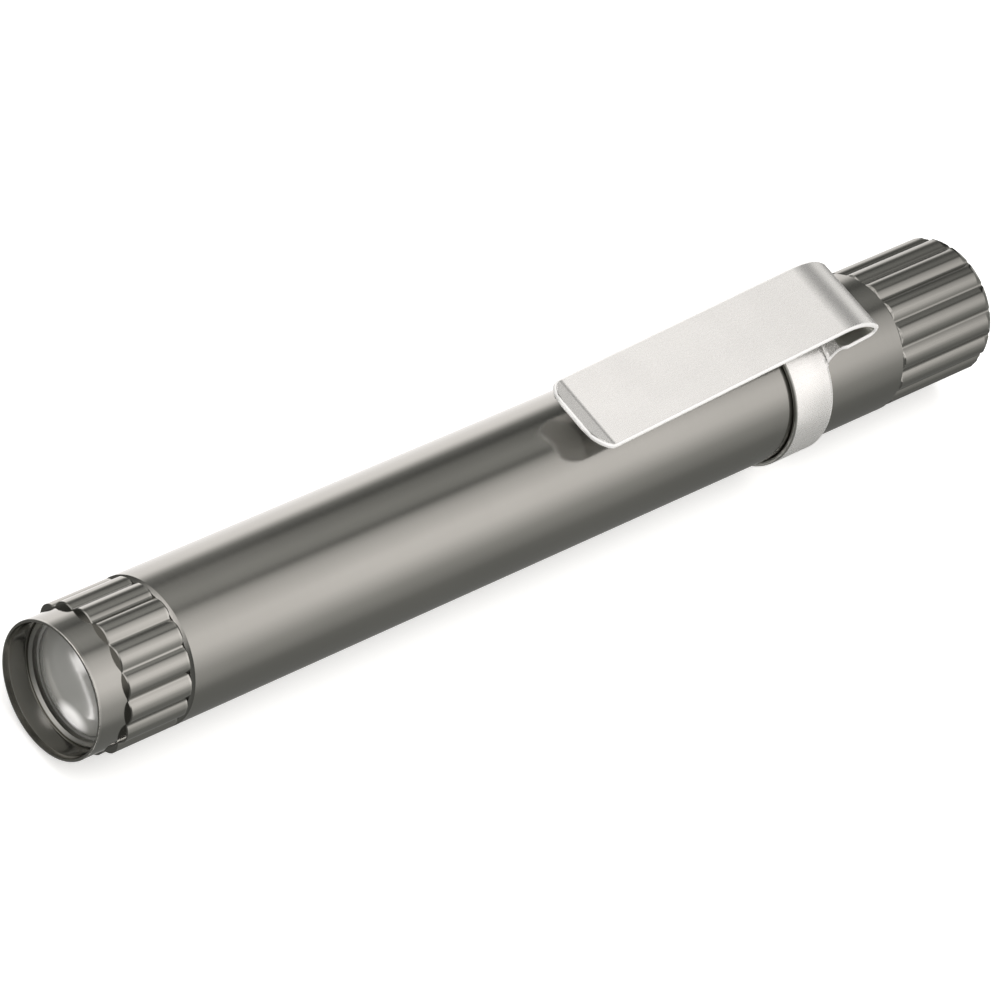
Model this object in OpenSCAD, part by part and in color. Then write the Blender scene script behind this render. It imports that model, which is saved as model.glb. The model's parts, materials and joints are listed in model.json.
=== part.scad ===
// Penlight: a slim two-cell torch with a fluted head and tail cap, a spring pocket clip and a tail switch.
// Millimetres. +X is the way the light shines, +Z points at the pocket clip, and the origin is on the axis
// at the shoulder behind the smooth nose. Pieces are drawn in an axis frame, in which z runs from the front
// rim to the tail and x points at the clip, and torch() then lays them along X.

/* [Cells] */
// Diameter of one cell
cell_d = 10.5; // [9.5:0.1:14.5]
// Length of one cell over its terminal
cell_len = 44.5; // [30:0.5:65]
// Diameter of a cell's positive terminal
cell_tip_d = 3.8; // [3:0.1:4.8]
// Height of a cell's positive terminal
cell_tip_h = 0.8; // [0.6:0.1:1.5]
// Rounding of a cell's crimped ends
cell_crimp = 0.5; // [0.2:0.1:1]
// Radial room round a cell
cell_clear = 0.2; // [0.1:0.05:0.5]
// From the rear cell's end to the barrel's rear end
cell_inset = 3; // [1.5:0.5:5]

/* [Barrel] */
// Wall of the barrel over the screwed-in spigots
joint_wall = 0.77; // [0.6:0.01:2]
// Extra bore radius between the spigots
bore_relief = 0.1; // [0.05:0.05:0.6]
// Chamfer on the turned edges
edge_chamfer = 0.2; // [0.1:0.05:0.35]
// Gap left at the head and tail joints
joint_gap = 0.12; // [0.05:0.01:0.3]

/* [Spigots and seals] */
// Wall of the spigots on the head and the tail cap
spigot_wall = 0.95; // [0.9:0.05:1.6]
// Radial room between a spigot and the barrel
thread_clear = 0.08; // [0.05:0.01:0.1]
// Length of the head's spigot
head_spigot_len = 5; // [4.8:0.1:8]
// Length of the tail cap's spigot
tail_spigot_len = 6.5; // [5:0.1:9]
// Room past the end of a spigot
spigot_end_gap = 0.4; // [0.2:0.1:1]
// Thread pitch
thread_pitch = 0.75; // [0.5:0.05:1]
// Thread depth
thread_depth = 0.3; // [0.2:0.05:0.4]
// Turns of thread on a spigot
thread_turns = 4; // [2:1:4]
// Thickness of the joint seals
seal_d = 0.62; // [0.5:0.02:0.64]
// From a joint to its seal's groove
seal_inset = 0.6; // [0.4:0.1:0.8]
// Room of a seal in its groove
seal_room = 0.03; // [0.02:0.01:0.05]

/* [Head] */
// Length of the smooth nose
nose_len = 3.2; // [2.5:0.1:5]
// Step from the flute ridges down to the nose
nose_step = 0.57; // [0.55:0.01:0.65]
// Length of the fluted part of the head
head_flute_len = 7.1; // [5:0.1:9]
// Wall of the front rim
rim_wall = 0.26; // [0.2:0.01:0.34]
// Wall round the lens
recess_wall = 0.38; // [0.35:0.01:0.5]
// Depth of the bevel inside the front rim
rim_bevel = 0.45; // [0.2:0.05:1]
// Softened outer edge of the front rim
rim_edge = 0.06; // [0.04:0.01:0.1]
// From the front rim to the lens ring
recess_depth = 2.55; // [2.2:0.05:4]

/* [Flutes] */
// Number of flute lobes round the head and the tail cap
flute_count = 16; // [16:1:20]
// Radius of one lobe
flute_r = 1.6; // [1.5:0.05:1.8]
// Turn of the tail cap's lobes against the clip
tail_phase = 13.25; // [0:0.25:22.5]

/* [Lens] */
// Thickness of the lens ring
lens_ring_t = 0.7; // [0.5:0.05:1.2]
// Radial width of the lens ring
lens_ring_wall = 0.42; // [0.35:0.01:0.45]
// Bevel inside the lens ring
lens_ring_bevel = 0.25; // [0.1:0.05:0.3]
// Thickness of the lens seal
lens_seal_d = 0.7; // [0.6:0.02:0.86]
// How much of the lens seal shows inside the ring
lens_seal_show = 0.52; // [0.45:0.01:0.6]
// Room between the lens and its seal
lens_seal_room = 0.04; // [0.02:0.01:0.06]
// Height of the lens dome
lens_rise = 1.6; // [0.8:0.1:2]
// Straight edge of the lens in front of its flange
lens_edge = 0.85; // [0.5:0.05:1.2]
// Thickness of the lens flange
lens_flange_t = 0.8; // [0.5:0.05:1.5]
// Radial room of the ring and the lens in the head
lens_clear = 0.03; // [0.02:0.01:0.05]

/* [Light engine] */
// From the lens to the emitter board
reflector_len = 4.25; // [3.6:0.05:8]
// Gap between the lens and the reflector
reflector_gap = 0.1; // [0.05:0.05:0.3]
// Wall of the reflector at its mouth
reflector_wall = 0.4; // [0.3:0.05:0.8]
// Room round the emitter in the reflector's hole
emitter_room = 0.15; // [0.1:0.05:0.3]
// Side of the square emitter
emitter_w = 3.4; // [2.5:0.1:4.5]
// Height of the emitter
emitter_h = 0.8; // [0.5:0.05:1.2]
// Border of the emitter round its dome
emitter_border = 0.3; // [0.2:0.05:0.5]
// Thickness of the emitter board
emitter_board_t = 1; // [0.6:0.1:1.6]
// Radial room of the pieces that drop into the head and the tail cap
insert_clear = 0.05; // [0.02:0.01:0.08]
// Wall of the heat-sink pill
pill_wall = 0.8; // [0.5:0.05:1.2]
// Width of the ledge that carries the driver board
pill_ledge = 0.6; // [0.4:0.05:1]
// Height of that ledge
pill_ledge_h = 0.9; // [0.7:0.05:1.5]
// Lip of the pill past the driver board
pill_lip = 0.5; // [0.4:0.05:0.9]
// Thickness of the driver board
driver_t = 0.8; // [0.6:0.1:1.2]
// Side of the driver chip
chip_w = 2.2; // [1.5:0.1:3]
// Length of a small driver part
chip_part_l = 1.4; // [1:0.1:2]
// Width of a small driver part
chip_part_w = 0.8; // [0.5:0.1:1.2]
// Gap between the chip and a small driver part
chip_gap = 0.4; // [0.2:0.05:0.8]
// Room over the driver parts
chip_room = 0.2; // [0.1:0.05:0.4]
// Diameter of the front contact
contact_d = 4; // [3:0.1:4.6]
// Height of the front contact
contact_h = 0.8; // [0.6:0.1:1.4]
// Gap between the front contact and the cell
contact_gap = 0.1; // [0.05:0.05:0.3]
// Thickness of the insulator ring
insulator_t = 0.4; // [0.3:0.05:0.5]
// Room between the insulator ring and the contact
insulator_room = 0.6; // [0.3:0.1:1]

/* [Pocket clip] */
// Thickness of the clip's sheet steel
clip_t = 0.5; // [0.4:0.05:0.6]
// Width of the clip at its fold
clip_fold_w = 8.7; // [7.5:0.1:10]
// Extra width of the clip at its tip
clip_flare = 0.1; // [-0.5:0.1:1]
// Rounding of the tip's corners
clip_corner_r = 2.8; // [0.5:0.1:4]
// Width of the band round the barrel
band_w = 5.35; // [3:0.05:9]
// From the band's rear edge to the barrel's rear end
band_inset = 11.1; // [8:0.1:30]
// Radial room between the band and the barrel
band_clear = 0.06; // [0.03:0.01:0.1]
// Opening of the band under the barrel, in degrees
band_open = 70; // [40:5:120]
// Half width of the neck between the band and the fold
neck_half_w = 3.65; // [2:0.05:4]
// Length of the neck past the band
neck_len = 1.4; // [0.8:0.1:2.5]
// From the band's top to the middle of the strap's sheet
strap_lift = 0.13; // [0.05:0.01:0.25]
// Rise of the strap towards the fold, in degrees
strap_angle = 9.5; // [0:0.5:20]
// Length of the strap
strap_len = 5.2; // [4:0.1:8]
// Overlap of the strap and the band
strap_lap = 0.5; // [0.2:0.1:1]
// Middle radius of the fold
fold_r = 0.7; // [0.45:0.05:1.2]
// Gap between the arm and the strap in the fold, in degrees
fold_gap = 24; // [15:1:40]
// Slope of the ramp from the fold to the crest, in degrees
ramp_angle = 35; // [5:0.5:45]
// Length of the ramp
ramp_len = 0.6; // [0.2:0.1:6]
// Middle radius of the crest
crest_r = 7.75; // [1:0.05:12]
// Length of the straight arm
arm_len = 30.2; // [15:0.1:60]
// Middle radius of the crease before the lip
lip_r = 0.9; // [0.5:0.05:1.5]
// Rise of the lip towards its end, in degrees
lip_angle = 18.3; // [5:0.1:40]
// Length of the lip
lip_len = 2.13; // [0.6:0.01:4]
// Gap between the crease and the barrel
tip_clear = 1.39; // [0.2:0.01:2.5]

/* [Tail switch] */
// From the tail joint to the switch retainer
retainer_inset = 1.1; // [0.5:0.1:3]
// Thickness of the switch retainer
retainer_t = 1.6; // [1:0.1:3]
// Radial width of the switch retainer
retainer_wall = 2; // [1:0.1:2.2]
// Width of the spanner notches
notch_w = 1.2; // [0.8:0.1:2]
// Depth of the spanner notches
notch_depth = 0.8; // [0.4:0.1:0.9]
// Diameter of the tail spring at the cell
tail_spring_big_d = 7.2; // [6:0.1:8.4]
// Diameter of the tail spring at the switch
tail_spring_small_d = 4.4; // [3.6:0.1:5]
// Wire of the tail spring
tail_wire_d = 0.6; // [0.4:0.05:0.6]
// Coils of the tail spring
tail_spring_turns = 4.5; // [2.5:0.5:4.5]
// Axial room at the ends of the springs
spring_room = 0.05; // [0.02:0.01:0.1]
// Diameter of the switch contact
switch_contact_d = 5.4; // [5.2:0.1:6]
// Thickness of the switch contact
switch_contact_t = 0.3; // [0.2:0.05:0.6]
// Front wall of the switch housing
housing_floor = 1; // [0.6:0.1:2]
// Rear wall of the switch housing
housing_back = 0.6; // [0.4:0.1:1.5]
// Length of the switch spring
switch_spring_len = 2.9; // [2.7:0.1:5]
// Diameter of the switch spring
switch_spring_d = 4.2; // [3.8:0.1:4.6]
// Wire of the switch spring
switch_wire_d = 0.35; // [0.25:0.05:0.4]
// Coils of the switch spring
switch_spring_turns = 2.5; // [1.5:0.5:3]
// Diameter of the plunger's disc
plunger_d = 5; // [4.9:0.1:6]
// Thickness of the plunger's disc
plunger_t = 0.7; // [0.5:0.1:1.2]
// Diameter of the plunger's stem
stem_d = 3.2; // [2:0.1:3.6]
// Radial room round the plunger and its stem
plunger_room = 0.15; // [0.1:0.05:0.3]
// Axial room behind the plunger's disc
plunger_gap = 0.1; // [0.05:0.05:0.2]
// Diameter of the push button
button_d = 7; // [5:0.1:7.4]
// Radial room of the button in the tail wall
button_clear = 0.1; // [0.05:0.05:0.2]
// Width of the flange that keeps the button in
button_lip = 1.1; // [0.6:0.1:1.2]
// Radial room round that flange
button_lip_room = 0.2; // [0.1:0.05:0.25]
// Thickness of that flange
button_flange_t = 0.9; // [0.6:0.1:1.5]
// How far the button stands out of the tail
button_out = 1.2; // [0.6:0.1:2]
// Height of the button's crown
button_crown = 0.5; // [0.2:0.1:0.6]
// Travel of the button
button_travel = 1.4; // [0.8:0.1:1.5]
// Axial room at the button's stops
stop_gap = 0.1; // [0.05:0.05:0.2]
// Wall at the tail's end
end_wall = 2.9; // [1.5:0.1:4]

/* [Hidden] */
$fn = 96;
// Overshoot of cutting shapes
cut = 1;
// Points in one bend of the clip, rings in one coil and sides of a spring's wire
bend_steps = 10;
rings_per_coil = 8;
wire_sides = 6;

// Radii, from the cells outwards
cell_r = cell_d/2;
insert_bore_r = cell_r + cell_clear;
insert_r = insert_bore_r - insert_clear;
barrel_bore_r = insert_bore_r + bore_relief;
spigot_r = insert_bore_r + spigot_wall;
counterbore_r = spigot_r + thread_clear;
barrel_r = counterbore_r + joint_wall;
nose_r = barrel_r - nose_step;
recess_r = nose_r - recess_wall;
lens_ring_r = recess_r - lens_clear;
lens_ring_hole_r = lens_ring_r - lens_ring_wall;
lens_r = lens_ring_hole_r - lens_seal_show;
lens_sphere_r = (lens_r*lens_r + lens_rise*lens_rise)/(2*lens_rise);

// Stations along the axis, from the front rim
s_lens_seal = recess_depth + lens_ring_t;
s_flange = s_lens_seal + lens_seal_d;
s_reflector = s_flange + lens_flange_t;
s_emitter_board = s_reflector + reflector_len;
s_emitter = s_emitter_board - emitter_h;
s_pill = s_emitter_board + emitter_board_t;
s_driver = s_pill + pill_ledge_h;
s_contact = s_driver + driver_t;
s_front_cell = s_contact + contact_h + contact_gap;
s_rear_cell = s_front_cell + cell_len;
s_cells_end = s_rear_cell + cell_len;
s_head_joint = nose_len + head_flute_len;
s_tail_joint = s_cells_end + cell_inset;
s_retainer = s_tail_joint + retainer_inset;
s_housing = s_retainer + retainer_t;
s_plunger = s_housing + housing_floor + switch_spring_len;
s_housing_back = s_plunger + plunger_t + plunger_gap;
s_button_room = s_housing_back + housing_back;
s_end_wall = s_button_room + button_flange_t + button_travel + 2*stop_gap;
s_tail_end = s_end_wall + end_wall;

// Light engine
emitter_dome_r = emitter_w/2 - emitter_border;
reflector_hole_r = emitter_w/2*sqrt(2) + emitter_room;
reflector_mouth_r = insert_r - reflector_wall;
pill_bore_r = insert_r - pill_wall;
driver_r = pill_bore_r - insert_clear;

// Joint seals
seal_ring_r = spigot_r - seal_d/2;
seal_groove_r = spigot_r - seal_d - seal_room;
seal_groove_w = seal_d + 2*seal_room;
thread_inset = 2*seal_inset + seal_groove_w;

// Clip: its width at the tip, and the poses along its sheet, each a place and a heading in degrees
clip_tip_w = clip_fold_w + clip_flare;
band_in_r = barrel_r + band_clear;
band_out_r = band_in_r + clip_t;
s_band_rear = s_tail_joint - band_inset;
s_band_front = s_band_rear - band_w;
strap_pose = [s_band_rear - strap_lap, band_out_r + strap_lift, strap_angle];
fold_pose = go(strap_pose, strap_len);
half_fold = 90 - fold_gap/2 - strap_angle;
arm_pose = after_bend(fold_pose, half_fold + fold_gap, fold_r);
ramp_pose = after_bend(arm_pose, 90 - ramp_angle - fold_gap/2, fold_r);
crest_pose = go(ramp_pose, ramp_len);
// The arm's slope puts the crease at its gap from the barrel
crease_z = barrel_r + tip_clear + clip_t/2;
arm_drop = crease_z - crest_pose[1] + crest_r*cos(ramp_angle) + lip_r;
arm_angle = acos(arm_drop/norm([crest_r + lip_r, arm_len])) - atan2(arm_len, crest_r + lip_r);
lip_turn = lip_angle + arm_angle;
straight_pose = after_bend(crest_pose, ramp_angle + arm_angle, crest_r);
lip_pose = go(straight_pose, arm_len);
lip_run_pose = after_bend(lip_pose, -lip_turn, -lip_r);
lip_end_pose = go(lip_run_pose, lip_len);
tip_run = lip_len + lip_r*lip_turn*PI/180;
neck_fillet = clip_fold_w/2 - neck_half_w;

// Tail switch
retainer_hole_r = insert_r - retainer_wall;
housing_bore_r = plunger_d/2 + plunger_room;
button_r = button_d/2;
button_flange_r = button_r + button_lip;
button_room_r = button_flange_r + button_lip_room;
button_crown_r = (button_r*button_r + button_crown*button_crown)/(2*button_crown);

// Pose after a straight run of the clip's sheet
function go(pose, run) = [pose[0] + run*cos(pose[2]), pose[1] + run*sin(pose[2]), pose[2]];

// Pose after a left-hand bend, or a right-hand one where the turn and the radius are negative
function after_bend(pose, turn, r) = [
    pose[0] + r*(sin(pose[2] + turn) - sin(pose[2])),
    pose[1] - r*(cos(pose[2] + turn) - cos(pose[2])),
    pose[2] + turn
];

// Point beside a pose, on the sheet's left face for side 1 and on its right face for side -1
function face_point(pose, side) = [
    pose[0] - side*clip_t/2*sin(pose[2]),
    pose[1] + side*clip_t/2*cos(pose[2])
];

// Points along one face of a bend
function bend_points(pose, turn, r, side) =
    [for (i = [0:bend_steps]) face_point(after_bend(pose, turn*i/bend_steps, r), side)];

// Pose on the arm at a run back from the lip's end, along the sheet
function from_tip(run) = run < lip_len ? go(lip_end_pose, -run)
    : run < tip_run ? after_bend(lip_pose, (run - tip_run)/lip_r*180/PI, -lip_r)
    : go(lip_pose, tip_run - run);

// Half width of the rounded tip at a run back from the lip's end
function tip_half_w(run) = clip_tip_w/2 - clip_corner_r + sqrt(run*(2*clip_corner_r - run));

function backwards(points) = [for (i = [len(points) - 1:-1:0]) points[i]];

// Middle of a spring's wire at a share t of its way
function coil_point(r0, r1, z0, z1, turns, t) = let (r = r0 + (r1 - r0)*t, a = 360*turns*t)
    [r*cos(a), r*sin(a), z0 + (z1 - z0)*t];

// Least gap between the turns of a spring, measured on its points
function coil_gap(r0, r1, z0, z1, turns, wire_d) =
    let (n = ceil(turns*rings_per_coil),
        p = [for (i = [0:n]) coil_point(r0, r1, z0, z1, turns, i/n)])
    min([for (i = [0:n], k = [i + rings_per_coil/2:1:n]) norm(p[i] - p[k])]) - wire_d;

// Lays the axis frame along X, with the nose's shoulder at the origin
module torch() {
    translate([nose_len, 0, 0]) rotate([0, -90, 0]) children();
}

// Round bar between two stations
module bar(from, to, r) {
    translate([0, 0, from]) cylinder(h = to - from, r = r);
}

// Round tube between two stations
module tube(from, to, r, hole) {
    difference() {
        bar(from, to, r);
        bar(from - cut, to + cut, hole);
    }
}

// Cone between two stations
module cone(from, to, r1, r2) {
    translate([0, 0, from]) cylinder(h = to - from, r1 = r1, r2 = r2);
}

// Ring of round section
module seal_ring(s, ring_r, section_d) {
    translate([0, 0, s]) rotate_extrude() translate([ring_r, 0]) circle(d = section_d, $fn = 32);
}

// Cutter that bevels an outer edge at a station, on the front side for way -1 and on the rear side for way 1
module edge_bevel(s, r, size, way) {
    translate([0, 0, s]) rotate_extrude()
        polygon([[r - size, 0], [r + cut, -way*(size + cut)], [r + cut, way*cut], [r - size, way*cut]]);
}

// Cutter for thread grooves, which start at a station and point along way; depth is negative in a bore
module thread_grooves(s, r, depth, way) {
    overrun = depth > 0 ? thread_clear/2 : -thread_clear/2;
    for (i = [0:thread_turns - 1]) translate([0, 0, s + way*thread_pitch*(i + 0.5)]) rotate_extrude()
        polygon([[r - depth, 0], [r + overrun, -thread_pitch/2], [r + overrun, thread_pitch/2]]);
}

// Fluted grip: lobes round a core
module flutes(from, to, phase) {
    translate([0, 0, from]) linear_extrude(to - from) {
        circle(r = nose_r);
        for (i = [0:flute_count - 1]) rotate(phase + 360*i/flute_count)
            translate([barrel_r - flute_r, 0]) circle(r = flute_r);
    }
}

// Groove for a joint's seal, from a station along way
module seal_groove(s, way) {
    from = way > 0 ? s + seal_inset : s - seal_inset - seal_groove_w;
    tube(from, from + seal_groove_w, spigot_r + cut, seal_groove_r);
}

// Side outline of a part of the clip, given along its left and right faces, at a width
module clip_sheet(left, right, width) {
    rotate([-90, -90, 0]) linear_extrude(width, center = true) polygon(concat(right, backwards(left)));
}

// Plan outline of the clip, cut straight down
module clip_plan(points) {
    rotate([0, -90, 0]) linear_extrude(4*barrel_r, center = true) polygon(points);
}

// Spring of round wire between two stations
module coil(r0, r1, from, to, turns, wire_d) {
    n = ceil(turns*rings_per_coil);
    z0 = from + wire_d/2;
    z1 = to - wire_d/2;
    points = [for (i = [0:n], k = [0:wire_sides - 1])
        let (c = coil_point(r0, r1, z0, z1, turns, i/n), r = norm([c[0], c[1]]), b = 360*k/wire_sides,
            grow = (r + wire_d/2*cos(b))/r)
        [c[0]*grow, c[1]*grow, c[2] + wire_d/2*sin(b)]];
    walls = [for (i = [0:n - 1], k = [0:wire_sides - 1])
        let (a = i*wire_sides + k, b = i*wire_sides + (k + 1) % wire_sides)
        each [[a, b, a + wire_sides], [b, b + wire_sides, a + wire_sides]]];
    ends = [for (k = [1:wire_sides - 2])
        each [[0, k + 1, k], [n*wire_sides, n*wire_sides + k, n*wire_sides + k + 1]]];
    polyhedron(points, concat(walls, ends));
}

// Steel can of a cell, with its terminal end at a station
module cell_can(s) {
    bar(s + cell_tip_h + cell_crimp, s + cell_len - cell_crimp, cell_r);
    cone(s + cell_tip_h, s + cell_tip_h + cell_crimp, cell_r - cell_crimp, cell_r);
    cone(s + cell_len - cell_crimp, s + cell_len, cell_r, cell_r - cell_crimp);
}

// Turned body of the head: nose, flutes and the spigot that screws into the barrel
module head_shell() {
    s_end = s_head_joint + head_spigot_len;
    color("dimgray") torch() difference() {
        union() {
            bar(0, nose_len + rim_edge, nose_r);
            flutes(nose_len, s_head_joint - joint_gap, 0);
            bar(nose_len, s_end, spigot_r);
        }
        bar(-cut, s_reflector, recess_r);
        bar(nose_len - cut, s_end + cut, insert_bore_r);
        cone(0, rim_bevel, nose_r - rim_wall, recess_r);
        bar(-cut, 0, nose_r - rim_wall);
        edge_bevel(0, nose_r, rim_edge, -1);
        edge_bevel(s_head_joint - joint_gap, barrel_r, edge_chamfer, 1);
        edge_bevel(s_end, spigot_r, edge_chamfer, 1);
        seal_groove(s_head_joint, 1);
        thread_grooves(s_head_joint + thread_inset, spigot_r, thread_depth, 1);
    }
}

// Threaded ring that holds the lens down on its seal
module lens_ring() {
    s_bevel = recess_depth + lens_ring_bevel;
    color("gray") torch() difference() {
        tube(recess_depth, s_lens_seal, lens_ring_r, lens_ring_hole_r);
        cone(recess_depth, s_bevel, lens_ring_hole_r + lens_ring_bevel, lens_ring_hole_r);
    }
}

module lens_seal() {
    ring_r = lens_r + lens_seal_room + lens_seal_d/2;
    color("black") torch() seal_ring(s_lens_seal + lens_seal_d/2, ring_r, lens_seal_d);
}

// Convex lens with a flange
module lens() {
    s_apex = s_flange - lens_edge - lens_rise;
    color("lightcyan") torch() {
        bar(s_flange, s_reflector, lens_ring_r);
        intersection() {
            translate([0, 0, s_apex + lens_sphere_r]) sphere(r = lens_sphere_r);
            bar(s_apex - cut, s_flange + lens_flange_t/2, lens_r);
        }
    }
}

// Bright cone between the emitter and the lens
module reflector() {
    color("whitesmoke") torch() difference() {
        bar(s_reflector + reflector_gap, s_emitter_board, insert_r);
        cone(s_reflector, s_emitter, reflector_mouth_r, reflector_hole_r);
        bar(s_emitter, s_emitter_board + cut, reflector_hole_r);
    }
}

module emitter_dome() {
    color("ivory") torch() intersection() {
        translate([0, 0, s_emitter]) sphere(r = emitter_dome_r);
        bar(s_emitter - 2*emitter_dome_r, s_emitter, 2*emitter_dome_r);
    }
}

module emitter() {
    color("khaki") torch() translate([-emitter_w/2, -emitter_w/2, s_emitter])
        cube([emitter_w, emitter_w, emitter_h]);
}

module emitter_board() {
    color("white") torch() bar(s_emitter_board, s_pill, insert_r);
}

// Metal cup that carries the boards and takes away the heat
module heat_sink_pill() {
    color("goldenrod") torch() difference() {
        bar(s_pill, s_contact + pill_lip, insert_r);
        bar(s_pill - cut, s_contact + pill_lip + cut, pill_bore_r - pill_ledge);
        bar(s_driver, s_contact + pill_lip + cut, pill_bore_r);
    }
}

module driver_board() {
    color("darkgreen") torch() bar(s_driver, s_contact, driver_r);
}

// Chip and two small parts on the driver board
module driver_parts() {
    part_h = pill_ledge_h - chip_room;
    color("black") torch() {
        translate([-chip_w/2, -chip_w/2, s_driver - part_h]) cube([chip_w, chip_w, part_h]);
        for (turn = [0, 180]) rotate([0, 0, turn])
            translate([-chip_part_w/2, chip_w/2 + chip_gap, s_driver - part_h])
                cube([chip_part_w, chip_part_l, part_h]);
    }
}

module insulator_ring() {
    color("tan") torch() tube(s_contact, s_contact + insulator_t, driver_r, contact_d/2 + insulator_room);
}

module front_contact() {
    color("gold") torch() difference() {
        bar(s_contact, s_contact + contact_h, contact_d/2);
        edge_bevel(s_contact + contact_h, contact_d/2, edge_chamfer, 1);
    }
}

module head_seal() {
    color("black") torch() seal_ring(s_head_joint + seal_inset + seal_groove_w/2, seal_ring_r, seal_d);
}

// Barrel, counterbored and threaded at both ends
module barrel_tube() {
    s_front_seat = s_head_joint + head_spigot_len + spigot_end_gap;
    s_rear_seat = s_tail_joint - tail_spigot_len - spigot_end_gap;
    color("gray") torch() difference() {
        bar(s_head_joint, s_tail_joint, barrel_r);
        bar(s_head_joint - cut, s_tail_joint + cut, barrel_bore_r);
        bar(s_head_joint - cut, s_front_seat, counterbore_r);
        bar(s_rear_seat, s_tail_joint + cut, counterbore_r);
        edge_bevel(s_head_joint, barrel_r, edge_chamfer, -1);
        edge_bevel(s_tail_joint, barrel_r, edge_chamfer, 1);
        thread_grooves(s_head_joint + thread_inset, counterbore_r, -thread_depth, 1);
        thread_grooves(s_tail_joint - thread_inset, counterbore_r, -thread_depth, -1);
    }
}

module front_cell() {
    color("steelblue") torch() cell_can(s_front_cell);
}

module front_cell_terminal() {
    color("silver") torch() bar(s_front_cell, s_front_cell + cell_tip_h, cell_tip_d/2);
}

module rear_cell() {
    color("steelblue") torch() cell_can(s_rear_cell);
}

module rear_cell_terminal() {
    color("silver") torch() bar(s_rear_cell, s_rear_cell + cell_tip_h, cell_tip_d/2);
}

// Spring band of the clip with its neck, its strap and the lower half of the fold
module clip_band() {
    half_w = clip_fold_w/2;
    s_neck_end = s_band_rear + neck_len;
    neck = [[strap_pose[0] - cut, neck_half_w], [s_neck_end, neck_half_w],
        [s_neck_end + neck_fillet, half_w], [arm_pose[0] + barrel_r, half_w]];
    strap_left = concat([face_point(strap_pose, 1)], bend_points(fold_pose, half_fold, fold_r, 1));
    strap_right = concat([face_point(strap_pose, -1)], bend_points(fold_pose, half_fold, fold_r, -1));
    saddle_end = go(strap_pose, strap_lap + neck_len);
    saddle = [[strap_pose[0], 0], [saddle_end[0], 0],
        [saddle_end[0], saddle_end[1]], [strap_pose[0], strap_pose[1]]];
    color("silver") torch() {
        difference() {
            tube(s_band_front, s_band_rear, band_out_r, band_in_r);
            rotate([0, 0, 180]) translate([0, 0, s_band_front - cut]) linear_extrude(band_w + 2*cut)
                polygon([[0, 0], for (way = [-1, 1]) 2*barrel_r*[1, way*tan(band_open/2)]]);
        }
        intersection() {
            clip_sheet(strap_left, strap_right, 2*clip_fold_w);
            clip_plan(concat(neck, backwards([for (p = neck) [p[0], -p[1]]])));
        }
        difference() {
            rotate([-90, -90, 0]) linear_extrude(2*neck_half_w, center = true) polygon(saddle);
            bar(s_band_front, s_tail_joint, band_in_r);
        }
    }
}

// Spring arm of the clip, from the upper half of the fold to the turned-up lip
module clip_arm() {
    fold_turn = 90 - ramp_angle - fold_gap/2;
    sides = [for (side = [-1, 1]) concat(
        bend_points(arm_pose, fold_turn, fold_r, side),
        bend_points(crest_pose, ramp_angle + arm_angle, crest_r, side),
        bend_points(lip_pose, -lip_turn, -lip_r, side),
        [face_point(lip_end_pose, side)])];
    half = concat(
        [[lip_end_pose[0] - clip_t, tip_half_w(0)]],
        [for (i = [0:bend_steps]) let (run = clip_corner_r*i/bend_steps) [from_tip(run)[0], tip_half_w(run)]],
        [[ramp_pose[0], clip_fold_w/2], [arm_pose[0] + barrel_r, clip_fold_w/2]]);
    color("silver") torch() intersection() {
        clip_sheet(sides[1], sides[0], 2*clip_tip_w);
        clip_plan(concat(half, backwards([for (p = half) [p[0], -p[1]]])));
    }
}

// Turned tail cap: flutes, the spigot that screws into the barrel and the wall round the button
module tail_cap_shell() {
    s_front = s_tail_joint - tail_spigot_len;
    color("dimgray") torch() difference() {
        union() {
            flutes(s_tail_joint + joint_gap, s_tail_end, tail_phase);
            bar(s_front, s_tail_end - end_wall/2, spigot_r);
        }
        bar(s_front - cut, s_button_room, insert_bore_r);
        bar(s_button_room - cut, s_end_wall, button_room_r);
        bar(s_end_wall - cut, s_tail_end + cut, button_r + button_clear);
        edge_bevel(s_tail_joint + joint_gap, barrel_r, edge_chamfer, -1);
        edge_bevel(s_tail_end, barrel_r, edge_chamfer, 1);
        edge_bevel(s_front, spigot_r, edge_chamfer, -1);
        seal_groove(s_tail_joint, -1);
        thread_grooves(s_tail_joint - thread_inset, spigot_r, thread_depth, -1);
    }
}

module tail_seal() {
    color("black") torch() seal_ring(s_tail_joint - seal_inset - seal_groove_w/2, seal_ring_r, seal_d);
}

// Conical spring between the rear cell and the switch
module tail_spring() {
    from = s_cells_end + spring_room;
    to = s_housing - switch_contact_t - spring_room;
    echo(tail_spring_least_gap = coil_gap(tail_spring_big_d/2, tail_spring_small_d/2, from + tail_wire_d/2,
        to - tail_wire_d/2, tail_spring_turns, tail_wire_d));
    color("gainsboro") torch()
        coil(tail_spring_big_d/2, tail_spring_small_d/2, from, to, tail_spring_turns, tail_wire_d);
}

// Threaded ring with two spanner notches, which holds the switch in
module switch_retainer() {
    color("darkgray") torch() difference() {
        tube(s_retainer, s_housing, insert_r, retainer_hole_r);
        for (turn = [0, 180]) rotate([0, 0, turn]) translate([0, -notch_w/2, s_retainer - cut])
            cube([insert_r + cut, notch_w, notch_depth + cut]);
    }
}

module switch_contact() {
    color("gold") torch() bar(s_housing - switch_contact_t, s_housing, switch_contact_d/2);
}

module switch_housing() {
    color("black") torch() difference() {
        bar(s_housing, s_button_room, insert_r);
        bar(s_housing + housing_floor, s_housing_back, housing_bore_r);
        bar(s_housing_back - cut, s_button_room + cut, stem_d/2 + plunger_room);
    }
}

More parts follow.
